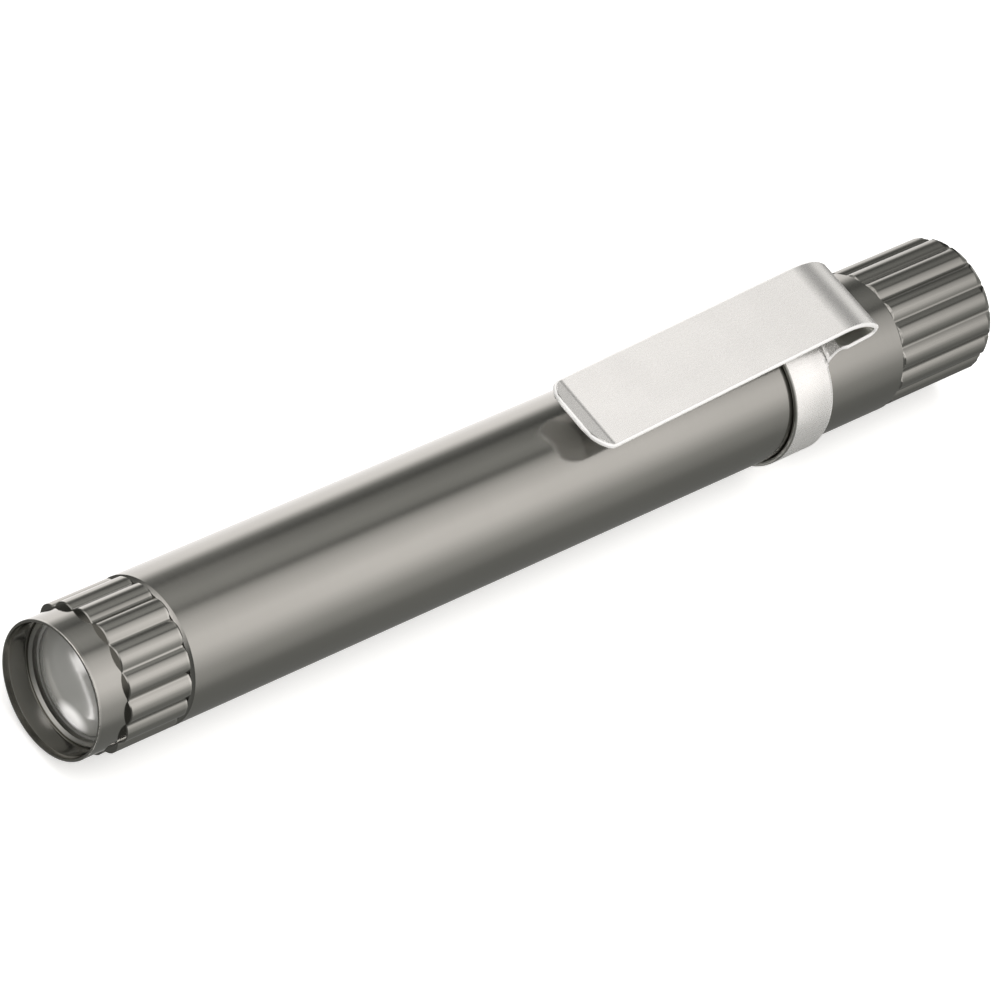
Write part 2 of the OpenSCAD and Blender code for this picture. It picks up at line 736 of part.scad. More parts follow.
module switch_spring() {
    from = s_housing + housing_floor + spring_room;
    to = s_plunger - spring_room;
    echo(switch_spring_least_gap = coil_gap(switch_spring_d/2, switch_spring_d/2, from + switch_wire_d/2,
        to - switch_wire_d/2, switch_spring_turns, switch_wire_d));
    color("gainsboro") torch()
        coil(switch_spring_d/2, switch_spring_d/2, from, to, switch_spring_turns, switch_wire_d);
}

// Disc and stem that the button pushes forward
module switch_plunger() {
    color("ivory") torch() {
        bar(s_plunger, s_plunger + plunger_t, plunger_d/2);
        bar(s_plunger, s_end_wall - stop_gap - button_flange_t, stem_d/2);
    }
}

// Push button with a flange inside the tail wall and a low crown outside
module push_button() {
    s_flange_rear = s_end_wall - stop_gap;
    s_top = s_tail_end + button_out;
    color("black") torch() {
        bar(s_flange_rear - button_flange_t, s_flange_rear, button_flange_r);
        intersection() {
            translate([0, 0, s_top - button_crown_r]) sphere(r = button_crown_r);
            bar(s_flange_rear - button_flange_t/2, s_top + cut, button_r);
        }
    }
}

head_shell();
lens_ring();
lens_seal();
lens();
reflector();
emitter_dome();
emitter();
emitter_board();
heat_sink_pill();
driver_board();
driver_parts();
insulator_ring();
front_contact();
head_seal();
barrel_tube();
front_cell();
front_cell_terminal();
rear_cell();
rear_cell_terminal();
clip_band();
clip_arm();
tail_cap_shell();
tail_seal();
tail_spring();
switch_retainer();
switch_contact();
switch_housing();
switch_spring();
switch_plunger();
push_button();
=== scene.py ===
"""Penlight: the looks of a slim metal torch, built round its packed construction model.

Shapes are drawn in millimetres on a bench, where z runs along the torch from its front rim to its tail
and x points at the pocket clip. A finished piece is then laid along X, in metres, where the frame has it.
"""

import json
import logging
import math
from dataclasses import dataclass
from enum import Enum, IntEnum
from typing import Any, Callable, Iterator, Sequence, Union

import bpy
from mathutils import Euler, Matrix, Vector

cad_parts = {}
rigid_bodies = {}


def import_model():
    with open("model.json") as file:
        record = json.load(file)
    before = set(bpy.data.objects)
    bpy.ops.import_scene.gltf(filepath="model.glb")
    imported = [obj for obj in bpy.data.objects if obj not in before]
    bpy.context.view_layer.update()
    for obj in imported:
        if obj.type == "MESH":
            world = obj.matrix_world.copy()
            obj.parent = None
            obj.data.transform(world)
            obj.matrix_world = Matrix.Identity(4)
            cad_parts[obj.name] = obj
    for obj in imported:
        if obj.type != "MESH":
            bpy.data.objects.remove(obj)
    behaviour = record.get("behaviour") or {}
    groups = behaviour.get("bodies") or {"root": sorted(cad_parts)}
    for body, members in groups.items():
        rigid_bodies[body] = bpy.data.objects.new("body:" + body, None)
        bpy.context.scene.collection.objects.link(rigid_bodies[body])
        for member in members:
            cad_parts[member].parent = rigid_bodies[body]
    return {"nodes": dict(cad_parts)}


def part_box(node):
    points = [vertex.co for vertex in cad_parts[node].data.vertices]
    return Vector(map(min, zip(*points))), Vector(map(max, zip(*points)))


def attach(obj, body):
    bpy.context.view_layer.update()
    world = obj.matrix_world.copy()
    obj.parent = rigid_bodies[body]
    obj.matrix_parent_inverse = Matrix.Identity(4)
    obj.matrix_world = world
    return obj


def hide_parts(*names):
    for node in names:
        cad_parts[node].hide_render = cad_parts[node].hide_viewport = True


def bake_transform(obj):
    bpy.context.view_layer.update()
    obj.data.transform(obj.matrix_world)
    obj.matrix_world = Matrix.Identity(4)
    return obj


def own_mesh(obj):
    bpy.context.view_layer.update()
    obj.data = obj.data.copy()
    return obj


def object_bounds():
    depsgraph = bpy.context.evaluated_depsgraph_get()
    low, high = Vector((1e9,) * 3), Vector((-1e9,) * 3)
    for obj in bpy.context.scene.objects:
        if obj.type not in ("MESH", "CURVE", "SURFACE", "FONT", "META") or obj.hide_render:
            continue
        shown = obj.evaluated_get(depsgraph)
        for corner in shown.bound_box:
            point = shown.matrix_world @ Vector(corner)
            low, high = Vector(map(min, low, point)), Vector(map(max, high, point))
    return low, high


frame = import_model()
CAD_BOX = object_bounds()

log = logging.getLogger("penlight")

MM = 0.001
FRONT_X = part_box("head_shell")[1].x

# Distance, in millimetres on the bench, at which two points count as one
SAME = 0.0005
# Angle between faces up to which the shading is smooth
SMOOTH_ANGLE = math.radians(35)
# Share of a chamfer's width that the middle of a rounded edge stands back
ROUNDED = 0.3
# Part of a noise's range over which a tone changes
CLOUD = (0.3, 0.7)
# Share of the coarser of two grains in a surface's relief
COARSE = 0.8
# Weight of a face's size in the shading of its corners, out of 100
FACE_WEIGHT = 80

Profile = Sequence[tuple[float, float]]
Colour = tuple[float, float, float]


def front_of(node: str) -> float:
    """Station of a node's front end, in millimetres from the front rim."""
    return (FRONT_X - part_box(node)[1].x) / MM


def rear_of(node: str) -> float:
    """Station of a node's rear end, in millimetres from the front rim."""
    return (FRONT_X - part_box(node)[0].x) / MM


def radius_of(node: str) -> float:
    """Outer radius of a round node, in millimetres."""
    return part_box(node)[1].y / MM


def to_frame(station: float, across: float, up: float) -> Vector:
    """A bench point, given as a station, a place across and a height, in the frame's metres."""
    return Vector((FRONT_X - station * MM, across * MM, up * MM))


class Bench:
    """One new mesh, drawn in edit mode step by step, as by hand."""

    def __init__(self, name: str) -> None:
        """Starts a mesh with a single vertex at the origin.

        Args:
            name: The piece's name.
        """
        bpy.ops.object.select_all(action="DESELECT")
        bpy.ops.mesh.primitive_plane_add(size=1.0)
        self.piece: bpy.types.Object = bpy.context.object
        self.piece.name = name
        self.piece.data.name = name
        bpy.ops.object.mode_set(mode="EDIT")
        bpy.ops.mesh.select_mode(type="VERT")
        bpy.ops.mesh.select_all(action="SELECT")
        bpy.ops.mesh.merge(type="CENTER")
        self.pen = Vector((0.0, 0.0, 0.0))

    def fresh_vertex(self) -> None:
        """Adds a loose vertex at the origin and selects only that."""
        bpy.ops.mesh.select_all(action="DESELECT")
        bpy.ops.mesh.primitive_plane_add(size=1.0)
        bpy.ops.mesh.merge(type="CENTER")
        self.pen = Vector((0.0, 0.0, 0.0))

    def move_to(self, point: Sequence[float]) -> None:
        """Moves the selected vertex to a point.

        Args:
            point: Where it goes, on the bench.
        """
        target = Vector(point)
        bpy.ops.transform.translate(value=target - self.pen)
        self.pen = target

    def draw_to(self, point: Sequence[float]) -> None:
        """Extrudes what is selected, so that the pen ends at a point.

        Args:
            point: Where the pen goes, on the bench.
        """
        target = Vector(point)
        bpy.ops.mesh.extrude_region_move(TRANSFORM_OT_translate={"value": target - self.pen})
        self.pen = target

    def draw_profile(self, profile: Profile) -> None:
        """Draws a half section from its first point on.

        Args:
            profile: Points, each a radius and a station.
        """
        self.move_to((profile[0][0], 0.0, profile[0][1]))
        for radius, station in profile[1:]:
            self.draw_to((radius, 0.0, station))

    def swing(
        self, angle: float, centre: Sequence[float], steps: int, axis: Sequence[float] = (0, 0, 1)
    ) -> None:
        """Sweeps what is selected round an axis, anticlockwise for a positive angle.

        Args:
            angle: The turn, in radians.
            centre: A point of the axis.
            steps: Number of segments.
            axis: The axis's direction.
        """
        against = tuple(-part for part in axis)
        bpy.ops.mesh.spin(steps=steps, angle=angle, center=centre, axis=against)

    def lathe(self, steps: int) -> None:
        """Spins the whole drawing round the torch's axis and closes its seam and poles.

        Args:
            steps: Number of segments once round.
        """
        bpy.ops.mesh.select_all(action="SELECT")
        self.swing(math.tau, (0, 0, 0), steps)
        self.merge()

    def repeat(self, count: int) -> None:
        """Repeats the connected drawing round the torch's axis and joins the copies' ends.

        Args:
            count: Number of copies once round.
        """
        bpy.ops.mesh.select_linked()
        bpy.ops.mesh.spin(steps=count, dupli=True, angle=math.tau, center=(0, 0, 0), axis=(0, 0, 1))
        self.merge()

    def merge(self) -> None:
        """Merges points that coincide."""
        bpy.ops.mesh.select_all(action="SELECT")
        bpy.ops.mesh.remove_doubles(threshold=SAME)

    def select(self, test: Callable[[Vector], bool]) -> None:
        """Selects the vertices whose place passes a test, with the edges and faces between them.

        Args:
            test: Takes a vertex's place on the bench.
        """
        bpy.ops.mesh.select_all(action="DESELECT")
        bpy.ops.object.mode_set(mode="OBJECT")
        for vertex in self.piece.data.vertices:
            vertex.select = test(vertex.co)
        bpy.ops.object.mode_set(mode="EDIT")

    def select_station(self, station: float, least_r: float) -> None:
        """Selects what lies at a station, from a radius outwards."""
        self.select(lambda co: abs(co.z - station) < SAME and math.hypot(co.x, co.y) > least_r - SAME)

    def pull(self, station: float, new_station: float, factor: float = 1.0) -> None:
        """Extrudes the selected ring along the torch, and widens or narrows it about the axis.

        Args:
            station: Where the ring is.
            new_station: Where the new ring goes.
            factor: The new ring's size against the old one's.
        """
        bpy.ops.mesh.extrude_region_move(TRANSFORM_OT_translate={"value": (0, 0, new_station - station)})
        if factor != 1.0:
            self.resize((factor, factor, 1.0), (0, 0, new_station))

    def resize(self, factors: Sequence[float], centre: Sequence[float]) -> None:
        """Scales what is selected about a point."""
        bpy.ops.transform.resize(value=factors, center_override=centre)

    def turn_down(self, station: float, limit_r: float) -> None:
        """Brings what stands past a radius at a station down to it, as a cut on a lathe does.

        Args:
            station: Where the cut ends.
            limit_r: The radius there.
        """
        places = [v.co for v in self.vertices() if abs(v.co.z - station) < SAME]
        proud = sorted({round(math.hypot(co.x, co.y), 3) for co in places})
        near = 2 * SAME
        for radius in (r for r in proud if r > limit_r):
            self.select(
                lambda co: abs(co.z - station) < SAME and abs(math.hypot(co.x, co.y) - radius) < near
            )
            self.resize((limit_r / radius, limit_r / radius, 1.0), (0, 0, station))

    def vertices(self) -> list[bpy.types.MeshVertex]:
        """The mesh's vertices as they are now."""
        self.piece.update_from_editmode()
        return list(self.piece.data.vertices)

    def bridge(self, station: float, least_r: float) -> None:
        """Closes the ring face between the two open loops at a station."""
        self.select_station(station, least_r)
        bpy.ops.mesh.bridge_edge_loops()

    def done(self) -> bpy.types.Object:
        """Leaves edit mode with the faces pointing outwards and smooth shading.

        Returns:
            The piece, still on the bench.
        """
        bpy.ops.mesh.select_all(action="SELECT")
        bpy.ops.mesh.normals_make_consistent(inside=False)
        bpy.ops.object.mode_set(mode="OBJECT")
        bpy.ops.object.shade_smooth_by_angle(angle=SMOOTH_ANGLE)
        even_shading(self.piece)
        return self.piece

    def laid_down(self) -> bpy.types.Object:
        """Ends the drawing and lays the piece along X.

        Returns:
            The piece, laid down.
        """
        piece = self.done()
        lay_down(piece)
        return piece


def even_shading(piece: bpy.types.Object) -> None:
    """Lets the large faces set the shading, so that a small edge doesn't darken its neighbours.

    Args:
        piece: The piece, active and in object mode.
    """
    weighted = piece.modifiers.new("Shading", "WEIGHTED_NORMAL")
    weighted.keep_sharp = True
    weighted.weight = FACE_WEIGHT
    bpy.ops.object.modifier_apply(modifier=weighted.name)


def lay_down(piece: bpy.types.Object) -> None:
    """Lays a piece from the bench along X, in metres, with its place in its mesh.

    Args:
        piece: The piece, on the bench.
    """
    bpy.ops.object.select_all(action="DESELECT")
    piece.select_set(True)
    bpy.context.view_layer.objects.active = piece
    piece.rotation_euler = Euler((0.0, -math.pi / 2, 0.0))
    piece.scale = (MM, MM, MM)
    piece.location = (FRONT_X, 0.0, 0.0)
    bpy.ops.object.transform_apply(location=True, rotation=True, scale=True)


def place(
    piece: bpy.types.Object, body: str, slot: str, finishes: Sequence[bpy.types.Material], *nodes: str
) -> None:
    """Puts a finished piece on its body, in the place of the nodes that it stands for.

    Args:
        piece: The piece, laid down.
        body: The body that it rides on.
        slot: The record's material slot; not used.
        finishes: Its materials, in the order of its slots.
        nodes: The nodes that it replaces.
    """
    dress(piece, *finishes)
    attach(piece, body)
    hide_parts(*nodes)
    log.info("%s: %d faces on %s", piece.name, len(piece.data.polygons), body)


def dress(piece: bpy.types.Object, *finishes: bpy.types.Material) -> None:
    """Gives a piece its materials, in the order of its slots.

    Args:
        piece: The piece.
        finishes: Its materials.
    """
    slots = piece.data.materials
    for number, finish in enumerate(finishes):
        if number < len(slots):
            slots[number] = finish
        else:
            slots.append(finish)


Number = Union["Wire", float]


class Wire:
    """An output of a node, with arithmetic that adds Math nodes."""

    def __init__(self, sheet: "NodeSheet", socket: bpy.types.NodeSocket) -> None:
        """Wraps a socket of a sheet of nodes."""
        self.sheet = sheet
        self.socket = socket

    def _math(self, operation: str, first: Number, second: Number = 0.0) -> "Wire":
        """Adds one Math node on two values."""
        return self.sheet.node("ShaderNodeMath", {"operation": operation}, {0: first, 1: second})

    def __add__(self, other: Number) -> "Wire":
        """Sum of two values."""
        return self._math("ADD", self, other)

    __radd__ = __add__

    def __mul__(self, other: Number) -> "Wire":
        """Product of two values."""
        return self._math("MULTIPLY", self, other)

    __rmul__ = __mul__

    def __sub__(self, other: Number) -> "Wire":
        """Difference of two values."""
        return self._math("SUBTRACT", self, other)

    def __rsub__(self, other: Number) -> "Wire":
        """Difference, with this value taken away."""
        return self._math("SUBTRACT", other, self)

    def __truediv__(self, other: Number) -> "Wire":
        """Quotient of two values."""
        return self._math("DIVIDE", self, other)

    def __abs__(self) -> "Wire":
        """Size of a value, without its sign."""
        return self._math("ABSOLUTE", self)

    def least(self, other: Number) -> "Wire":
        """The smaller of two values."""
        return self._math("MINIMUM", self, other)

    def angle_from(self, other: Number) -> "Wire":
        """Angle of a point whose height is this value and whose width is the other, in radians."""
        return self._math("ARCTAN2", self, other)

    def ramp(self, low: float, high: float, start: float = 0.0, end: float = 1.0) -> "Wire":
        """Runs smoothly from start to end as the value goes from low to high, and stays there."""
        settings = {"interpolation_type": "SMOOTHSTEP"}
        return self.sheet.node("ShaderNodeMapRange", settings, {0: self, 1: low, 2: high, 3: start, 4: end})


class NodeSheet:
    """Makes the nodes of one material or world."""

    def __init__(self, tree: bpy.types.NodeTree) -> None:
        """Starts on a tree, with the nodes that it has."""
        self.tree = tree

    def node(
        self,
        kind: str,
        settings: dict[str, Any] | None = None,
        sockets: dict[Any, Any] | None = None,
        out: Any = 0,
    ) -> Wire:
        """Adds a node.

        Args:
            kind: The node's type.
            settings: Its own settings, set first. "stops" are a ramp's, each a position and a colour.
            sockets: Values or wires for its inputs, by name or number.
            out: The output to return, by name or number.

        Returns:
            The chosen output.
        """
        made = self.tree.nodes.new(kind)
        for name, value in (settings or {}).items():
            if name == "stops":
                self._set_stops(made.color_ramp, value)
            else:
                setattr(made, name, value)
        for name, value in (sockets or {}).items():
            self.feed(made.inputs[name], value)
        return Wire(self, made.outputs[out])

    def parts(self, vector: Wire) -> tuple[Wire, Wire, Wire]:
        """Splits a vector into its three values.

        Args:
            vector: The vector.

        Returns:
            Its values along X, Y and Z.
        """
        first = self.node("ShaderNodeSeparateXYZ", {}, {0: vector})
        outputs = first.socket.node.outputs
        return first, Wire(self, outputs[1]), Wire(self, outputs[2])

    def dot(self, vector: Wire, other: Vector) -> Wire:
        """Dot product of a vector with a fixed one."""
        settings = {"operation": "DOT_PRODUCT"}
        return self.node("ShaderNodeVectorMath", settings, {0: vector, 1: tuple(other)}, 1)

    def feed(self, socket: bpy.types.NodeSocket, value: Any) -> None:
        """Links a wire to an input, or sets the input's own value.

        Args:
            socket: The input.
            value: A wire, a number, a vector or a colour.
        """
        if isinstance(value, Wire):
            self.tree.links.new(value.socket, socket)
        elif socket.type == "RGBA":
            socket.default_value = (*value, 1.0)
        else:
            socket.default_value = value

    @staticmethod
    def _set_stops(ramp: bpy.types.ColorRamp, stops: Sequence[tuple[float, Colour]]) -> None:
        """Gives a colour ramp its stops.

        Args:
            ramp: The ramp.
            stops: Positions, each with its colour.
        """
        while len(ramp.elements) > 1:
            ramp.elements.remove(ramp.elements[-1])
        ramp.elements[0].position = stops[0][0]
        ramp.elements[0].color = (*stops[0][1], 1.0)
        for position, colour in stops[1:]:
            ramp.elements.new(position).color = (*colour, 1.0)

    def mix(self, share: Number, first: Any, second: Any) -> Wire:
        """Mixes two colours."""
        settings = {"data_type": "RGBA"}
        return self.node("ShaderNodeMix", settings, {0: share, 6: first, 7: second}, 2)


class Paint(NodeSheet):
    """The nodes of one material, with a Principled shader at their end."""

    def __init__(self, name: str) -> None:
        """Starts a material with a Principled shader and the piece's own coordinates.

        Args:
            name: The material's name.
        """
        self.material = bpy.data.materials.new(name)
        self.material.use_nodes = True
        super().__init__(self.material.node_tree)
        self.shader = self.tree.nodes["Principled BSDF"]
        self.coordinates = self.node("ShaderNodeTexCoord", out="Object")
        self.x, self.y, self.z = self.parts(self.coordinates)

    def noise(self, grain_mm: float, stretch: Colour = (1.0, 1.0, 1.0), detail: float = 2.0) -> Wire:
        """Noise of a grain size.

        Args:
            grain_mm: Size of a grain, in millimetres.
            stretch: How many times longer the grain is along each axis.
            detail: Finer layers in the noise.

        Returns:
            Values about one half.
        """
        scale = tuple(1.0 / (grain_mm * MM * part) for part in stretch)
        mapped = self.node("ShaderNodeMapping", {}, {"Vector": self.coordinates, "Scale": scale})
        return self.node("ShaderNodeTexNoise", {}, {"Vector": mapped, "Scale": 1.0, "Detail": detail})

    def clouded(self, noise: Wire, colour: Colour, tone: float) -> Wire:
        """A colour that is darker in places, down to a share of itself."""
        darker = tuple(tone * part for part in colour)
        return self.mix(noise.ramp(*CLOUD), darker, colour)

    def roughen(self, roughness: float, *changes: tuple[float, Wire]) -> None:
        """Sets a roughness that changes over the surface.

        Args:
            roughness: Its middle value.
            changes: How far it changes, each with the noise that it follows.
        """
        rough: Number = roughness
        for reach, noise in changes:
            rough = rough + reach * (noise - 0.5)
        self.set(Roughness=rough)

    def bump(self, height: Wire, depth_mm: float) -> None:
        """Puts a fine relief on the surface."""
        sockets = {"Height": height, "Distance": depth_mm * MM, "Strength": 1.0}
        self.set(Normal=self.node("ShaderNodeBump", {}, sockets))

    def set(self, **values: Any) -> None:
        """Sets inputs of the shader, with _ for a space in a name."""
        for name, value in values.items():
            self.feed(self.shader.inputs[name.replace("_", " ")], value)

    def radius(self, across: float = 0.0, up: float = 0.0) -> Wire:
        """Distance from a line along the torch, in metres.

        Args:
            across: Where the line lies across the torch, in metres.
            up: Where it lies above the axis, in metres.

        Returns:
            The distance at each point of the surface.
        """
        away = self.node("ShaderNodeCombineXYZ", {}, {1: self.y - across, 2: self.z - up})
        return self.node("ShaderNodeVectorMath", {"operation": "LENGTH"}, {0: away}, 1)


@dataclass(frozen=True)
class AnodisedMetal:
    """Satin anodised aluminium with fine turning marks, a little paler where its edges are worn, and with
    painted light or painted shade on its surfaces nearer the axis.
    """

    name: str
    colour: Colour = (0.334, 0.328, 0.308)
    worn: Colour = (0.5, 0.49, 0.465)
    roughness: float = 0.175
    edges: tuple[float, ...] = ()
    edge_reach: float = 0.3
    # Sizes of the turning marks, the clouds and the specks, and the depth of the relief, in millimetres
    mark: float = 0.09
    cloud: float = 6.0
    speck: float = 0.05
    mark_depth: float = 0.0006
    cloud_tone: float = 0.95
    # Part of the specks' range in which an edge is worn
    wear: tuple[float, float] = (0.35, 0.6)
    mark_rough: float = 0.05
    cloud_rough: float = 0.04
    # Radii, in millimetres, between which the painted shading fades into the metal's own colour, and the
    # share of that
    # colour which it has at the first: over one for painted light, under one for painted shade
    painted_shading_fade: tuple[float, float] = (0.0, 0.1)
    painted_shading_share: float = 1.0

    def make(self) -> bpy.types.Material:
        """Makes the material.

        Returns:
            The new material.
        """
        paint = Paint(self.name)
        turning = paint.noise(self.mark, stretch=(1.0, 60.0, 60.0), detail=3.0)
        cloud = paint.noise(self.cloud, stretch=(3.0, 1.0, 1.0))
        speck = paint.noise(self.speck)
        tone = paint.clouded(cloud, self.colour, self.cloud_tone)
        for station in self.edges:
            near = abs(paint.x - (FRONT_X - station * MM)) / (self.edge_reach * MM)
            wear = (1.0 - near.least(1.0)) * speck.ramp(*self.wear)
            tone = paint.mix(wear, tone, self.worn)
        # Painted shading: the colour lighter or darker towards the axis, standing in for the light and
        # shade of hollows
        painted_shading = tuple(self.painted_shading_share * part for part in self.colour)
        low, high = (radius * MM for radius in self.painted_shading_fade)
        tone = paint.mix(paint.radius().ramp(low, high), painted_shading, tone)
        paint.set(Base_Color=tone, Metallic=1.0)
        paint.roughen(self.roughness, (self.mark_rough, turning), (self.cloud_rough, cloud))
        paint.bump(turning * COARSE + speck * (1 - COARSE), self.mark_depth)
        return paint.material


@dataclass(frozen=True)
class SatinSteel:
    """Blasted spring steel; a paler copy of it is painted light on the clip's edges and under its lip, and
    a darker copy painted shade inside its fold and under its arm.
    """

    name: str
    colour: Colour = (0.92, 0.908, 0.892)
    roughness: float = 0.28
    metal: float = 0.75
    # Sizes of the blasted grain, the drawing marks and the clouds, and the relief's depth, in millimetres
    grain: float = 0.07
    drawn: float = 0.12
    cloud: float = 5.0
    grain_depth: float = 0.004
    cloud_tone: float = 0.965
    grain_rough: float = 0.12
    drawn_rough: float = 0.05

    def make(self) -> bpy.types.Material:
        """Makes the material.

        Returns:
            The new material.
        """
        paint = Paint(self.name)
        grain = paint.noise(self.grain, detail=4.0)
        drawn = paint.noise(self.drawn, stretch=(40.0, 1.0, 1.0))
        cloud = paint.noise(self.cloud)
        paint.set(Base_Color=paint.clouded(cloud, self.colour, self.cloud_tone), Metallic=self.metal)
        paint.roughen(self.roughness, (self.grain_rough, grain), (self.drawn_rough, drawn))
        paint.bump(grain * COARSE + drawn * (1 - COARSE), self.grain_depth)
        return paint.material


@dataclass(frozen=True)
class Moulded:
    """Rubber or plastic from a mould, with a fine spark-eroded skin."""

    name: str
    colour: Colour
    roughness: float = 0.55
    grain: float = 0.12
    cloud: float = 3.0
    grain_depth: float = 0.004
    cloud_tone: float = 0.8
    grain_rough: float = 0.15

    def make(self) -> bpy.types.Material:
        """Makes the material.

        Returns:
            The new material.
        """
        paint = Paint(self.name)
        skin = paint.noise(self.grain, detail=3.0)
        cloud = paint.noise(self.cloud)
        paint.set(Base_Color=paint.clouded(cloud, self.colour, self.cloud_tone))
        paint.roughen(self.roughness, (self.grain_rough, skin))
        paint.bump(skin, self.grain_depth)
        return paint.material


@dataclass(frozen=True)
class TurnedMetal:
    """Bare or plated metal with turning or drawing marks."""

    name: str
    colour: Colour
    roughness: float = 0.25
    mark: float = 0.1
    cloud: float = 2.0
    mark_depth: float = 0.0015
    cloud_tone: float = 0.88
    mark_rough: float = 0.12

    def make(self) -> bpy.types.Material:
        """Makes the material.

        Returns:
            The new material.
        """
        paint = Paint(self.name)
        marks = paint.noise(self.mark, stretch=(1.0, 30.0, 30.0), detail=3.0)
        cloud = paint.noise(self.cloud)
        paint.set(Base_Color=paint.clouded(cloud, self.colour, self.cloud_tone), Metallic=1.0)
        paint.roughen(self.roughness, (self.mark_rough, marks))
        paint.bump(marks, self.mark_depth)
        return paint.material


@dataclass(frozen=True)
class LensGlass:
    """Moulded optic, clouded, with a painted patch of light that glows on its lower side."""

    name: str
    colour: Colour = (0.33, 0.33, 0.313)
    painted_glow_colour: Colour = (0.95, 0.93, 0.92)
    # Where the painted glow lies, across and up from the axis, and where it fades, in millimetres
    painted_glow_at: tuple[float, float] = (1.8, -2.9)
    painted_glow_fade: tuple[float, float] = (0.7, 2.1)
    painted_glow_strength: float = 0.7
    roughness: float = 0.2
    bloom: float = 0.8
    bloom_rough: float = 0.06
    clear: float = 0.15
    index: float = 1.49
    coat: float = 1.0
    coat_roughness: float = 0.12

    def make(self) -> bpy.types.Material:
        """Makes the material.

        Returns:
            The new material.
        """
        paint = Paint(self.name)
        bloom = paint.noise(self.bloom)
        reach = paint.radius(*(part * MM for part in self.painted_glow_at))
        near, far = (part * MM for part in self.painted_glow_fade)
        share = reach.ramp(near, far, 1.0, 0.0)
        paint.set(Base_Color=self.colour, Transmission_Weight=self.clear, IOR=self.index)
        # Painted light: an emitting patch stands in for the light gathered in the lens
        glow = paint.mix(share, (0.0, 0.0, 0.0), self.painted_glow_colour)
        paint.set(Emission_Color=glow, Emission_Strength=self.painted_glow_strength)
        paint.set(Specular_IOR_Level=1.0, Coat_Weight=self.coat, Coat_Roughness=self.coat_roughness)
        paint.roughen(self.roughness, (self.bloom_rough, bloom))
        return paint.material


@dataclass(frozen=True)
class Flutes:
    """Rounded lobes round a grip, joined by small fillets."""

    count: int = 16
    lobe_r: float = 1.6
    valley_r: float = 0.3
    lobe_steps: int = 16
    valley_steps: int = 6

    @property
    def around(self) -> int:
        """Number of points once round."""
        return self.count * (self.lobe_steps + self.valley_steps)

    def draw(self, bench: Bench, station: float, ridge_r: float, phase: float) -> None:
        """Draws the closed outline and leaves it selected.

        Args:
            bench: The mesh to draw in.
            station: Where the outline lies.
            ridge_r: Radius over the lobes.
            phase: Turn of the first lobe away from the clip, in radians.
        """
        half_pitch = math.pi / self.count
        reach = ridge_r - self.lobe_r
        outer = self.lobe_r + self.valley_r
        valley = reach * math.cos(half_pitch) + math.sqrt(outer**2 - (reach * math.sin(half_pitch)) ** 2)
        width = valley * math.sin(half_pitch)
        lobe_turn = math.atan2(width, valley * math.cos(half_pitch) - reach)
        turned = Matrix.Rotation(phase, 4, "Z")
        foot = Vector((math.cos(lobe_turn), -math.sin(lobe_turn), 0.0)) * self.lobe_r
        start = foot + Vector((reach, 0.0, station))
        bench.fresh_vertex()
        bench.move_to(turned @ start)
        bench.swing(2 * lobe_turn, turned @ Vector((reach, 0, station)), self.lobe_steps)
        dip = turned @ Vector((valley * math.cos(half_pitch), width, station))
        bench.swing(2 * (half_pitch - lobe_turn), dip, self.valley_steps)
        bench.repeat(self.count)
        bench.select_station(station, valley - self.valley_r)


@dataclass(frozen=True)
class Thread:
    """Spigot of a screwed joint: a seal's groove and the thread behind it."""

    pitch: float = 0.75
    depth: float = 0.3
    turns: int = 4
    crest: float = 0.06
    seal_inset: float = 0.6
    seal_width: float = 0.68
    seal_depth: float = 0.65

    def profile(self, radius: float, joint: float, way: int) -> list[tuple[float, float]]:
        """Half section from the joint towards the spigot's end.

        Args:
            radius: The spigot's radius.
            joint: The joint's station.
            way: 1 where the spigot points to the tail, and -1 where it points to the front.

        Returns:
            Points, each a radius and a station.
        """
        floor_r = radius - self.seal_depth
        near = joint + way * self.seal_inset
        far = near + way * self.seal_width
        points = [(radius, near), (floor_r, near), (floor_r, far), (radius, far)]
        start = far + way * self.seal_inset
        for turn in range(self.turns):
            middle = start + way * self.pitch * (turn + 0.5)
            flank = way * (self.pitch - self.crest) / 2
            points += [(radius, middle - flank), (radius - self.depth, middle), (radius, middle + flank)]
        return points


@dataclass
class Shell:
    """What the turned pieces of the torch's outside share."""

    flutes: Flutes = Flutes()
    thread: Thread = Thread()
    edge: float = 0.2
    gap: float = 0.06
    fine_edge: float = 0.07
    bore_room: float = 0.2

    def __post_init__(self) -> None:
        """Reads the joints and the main radii from the frame."""
        self.barrel_r = radius_of("barrel_tube")
        self.spigot_r = radius_of("head_seal")
        self.bore_r = radius_of("front_cell") + self.bore_room
        self.head_joint = front_of("barrel_tube")
        self.tail_joint = rear_of("barrel_tube")


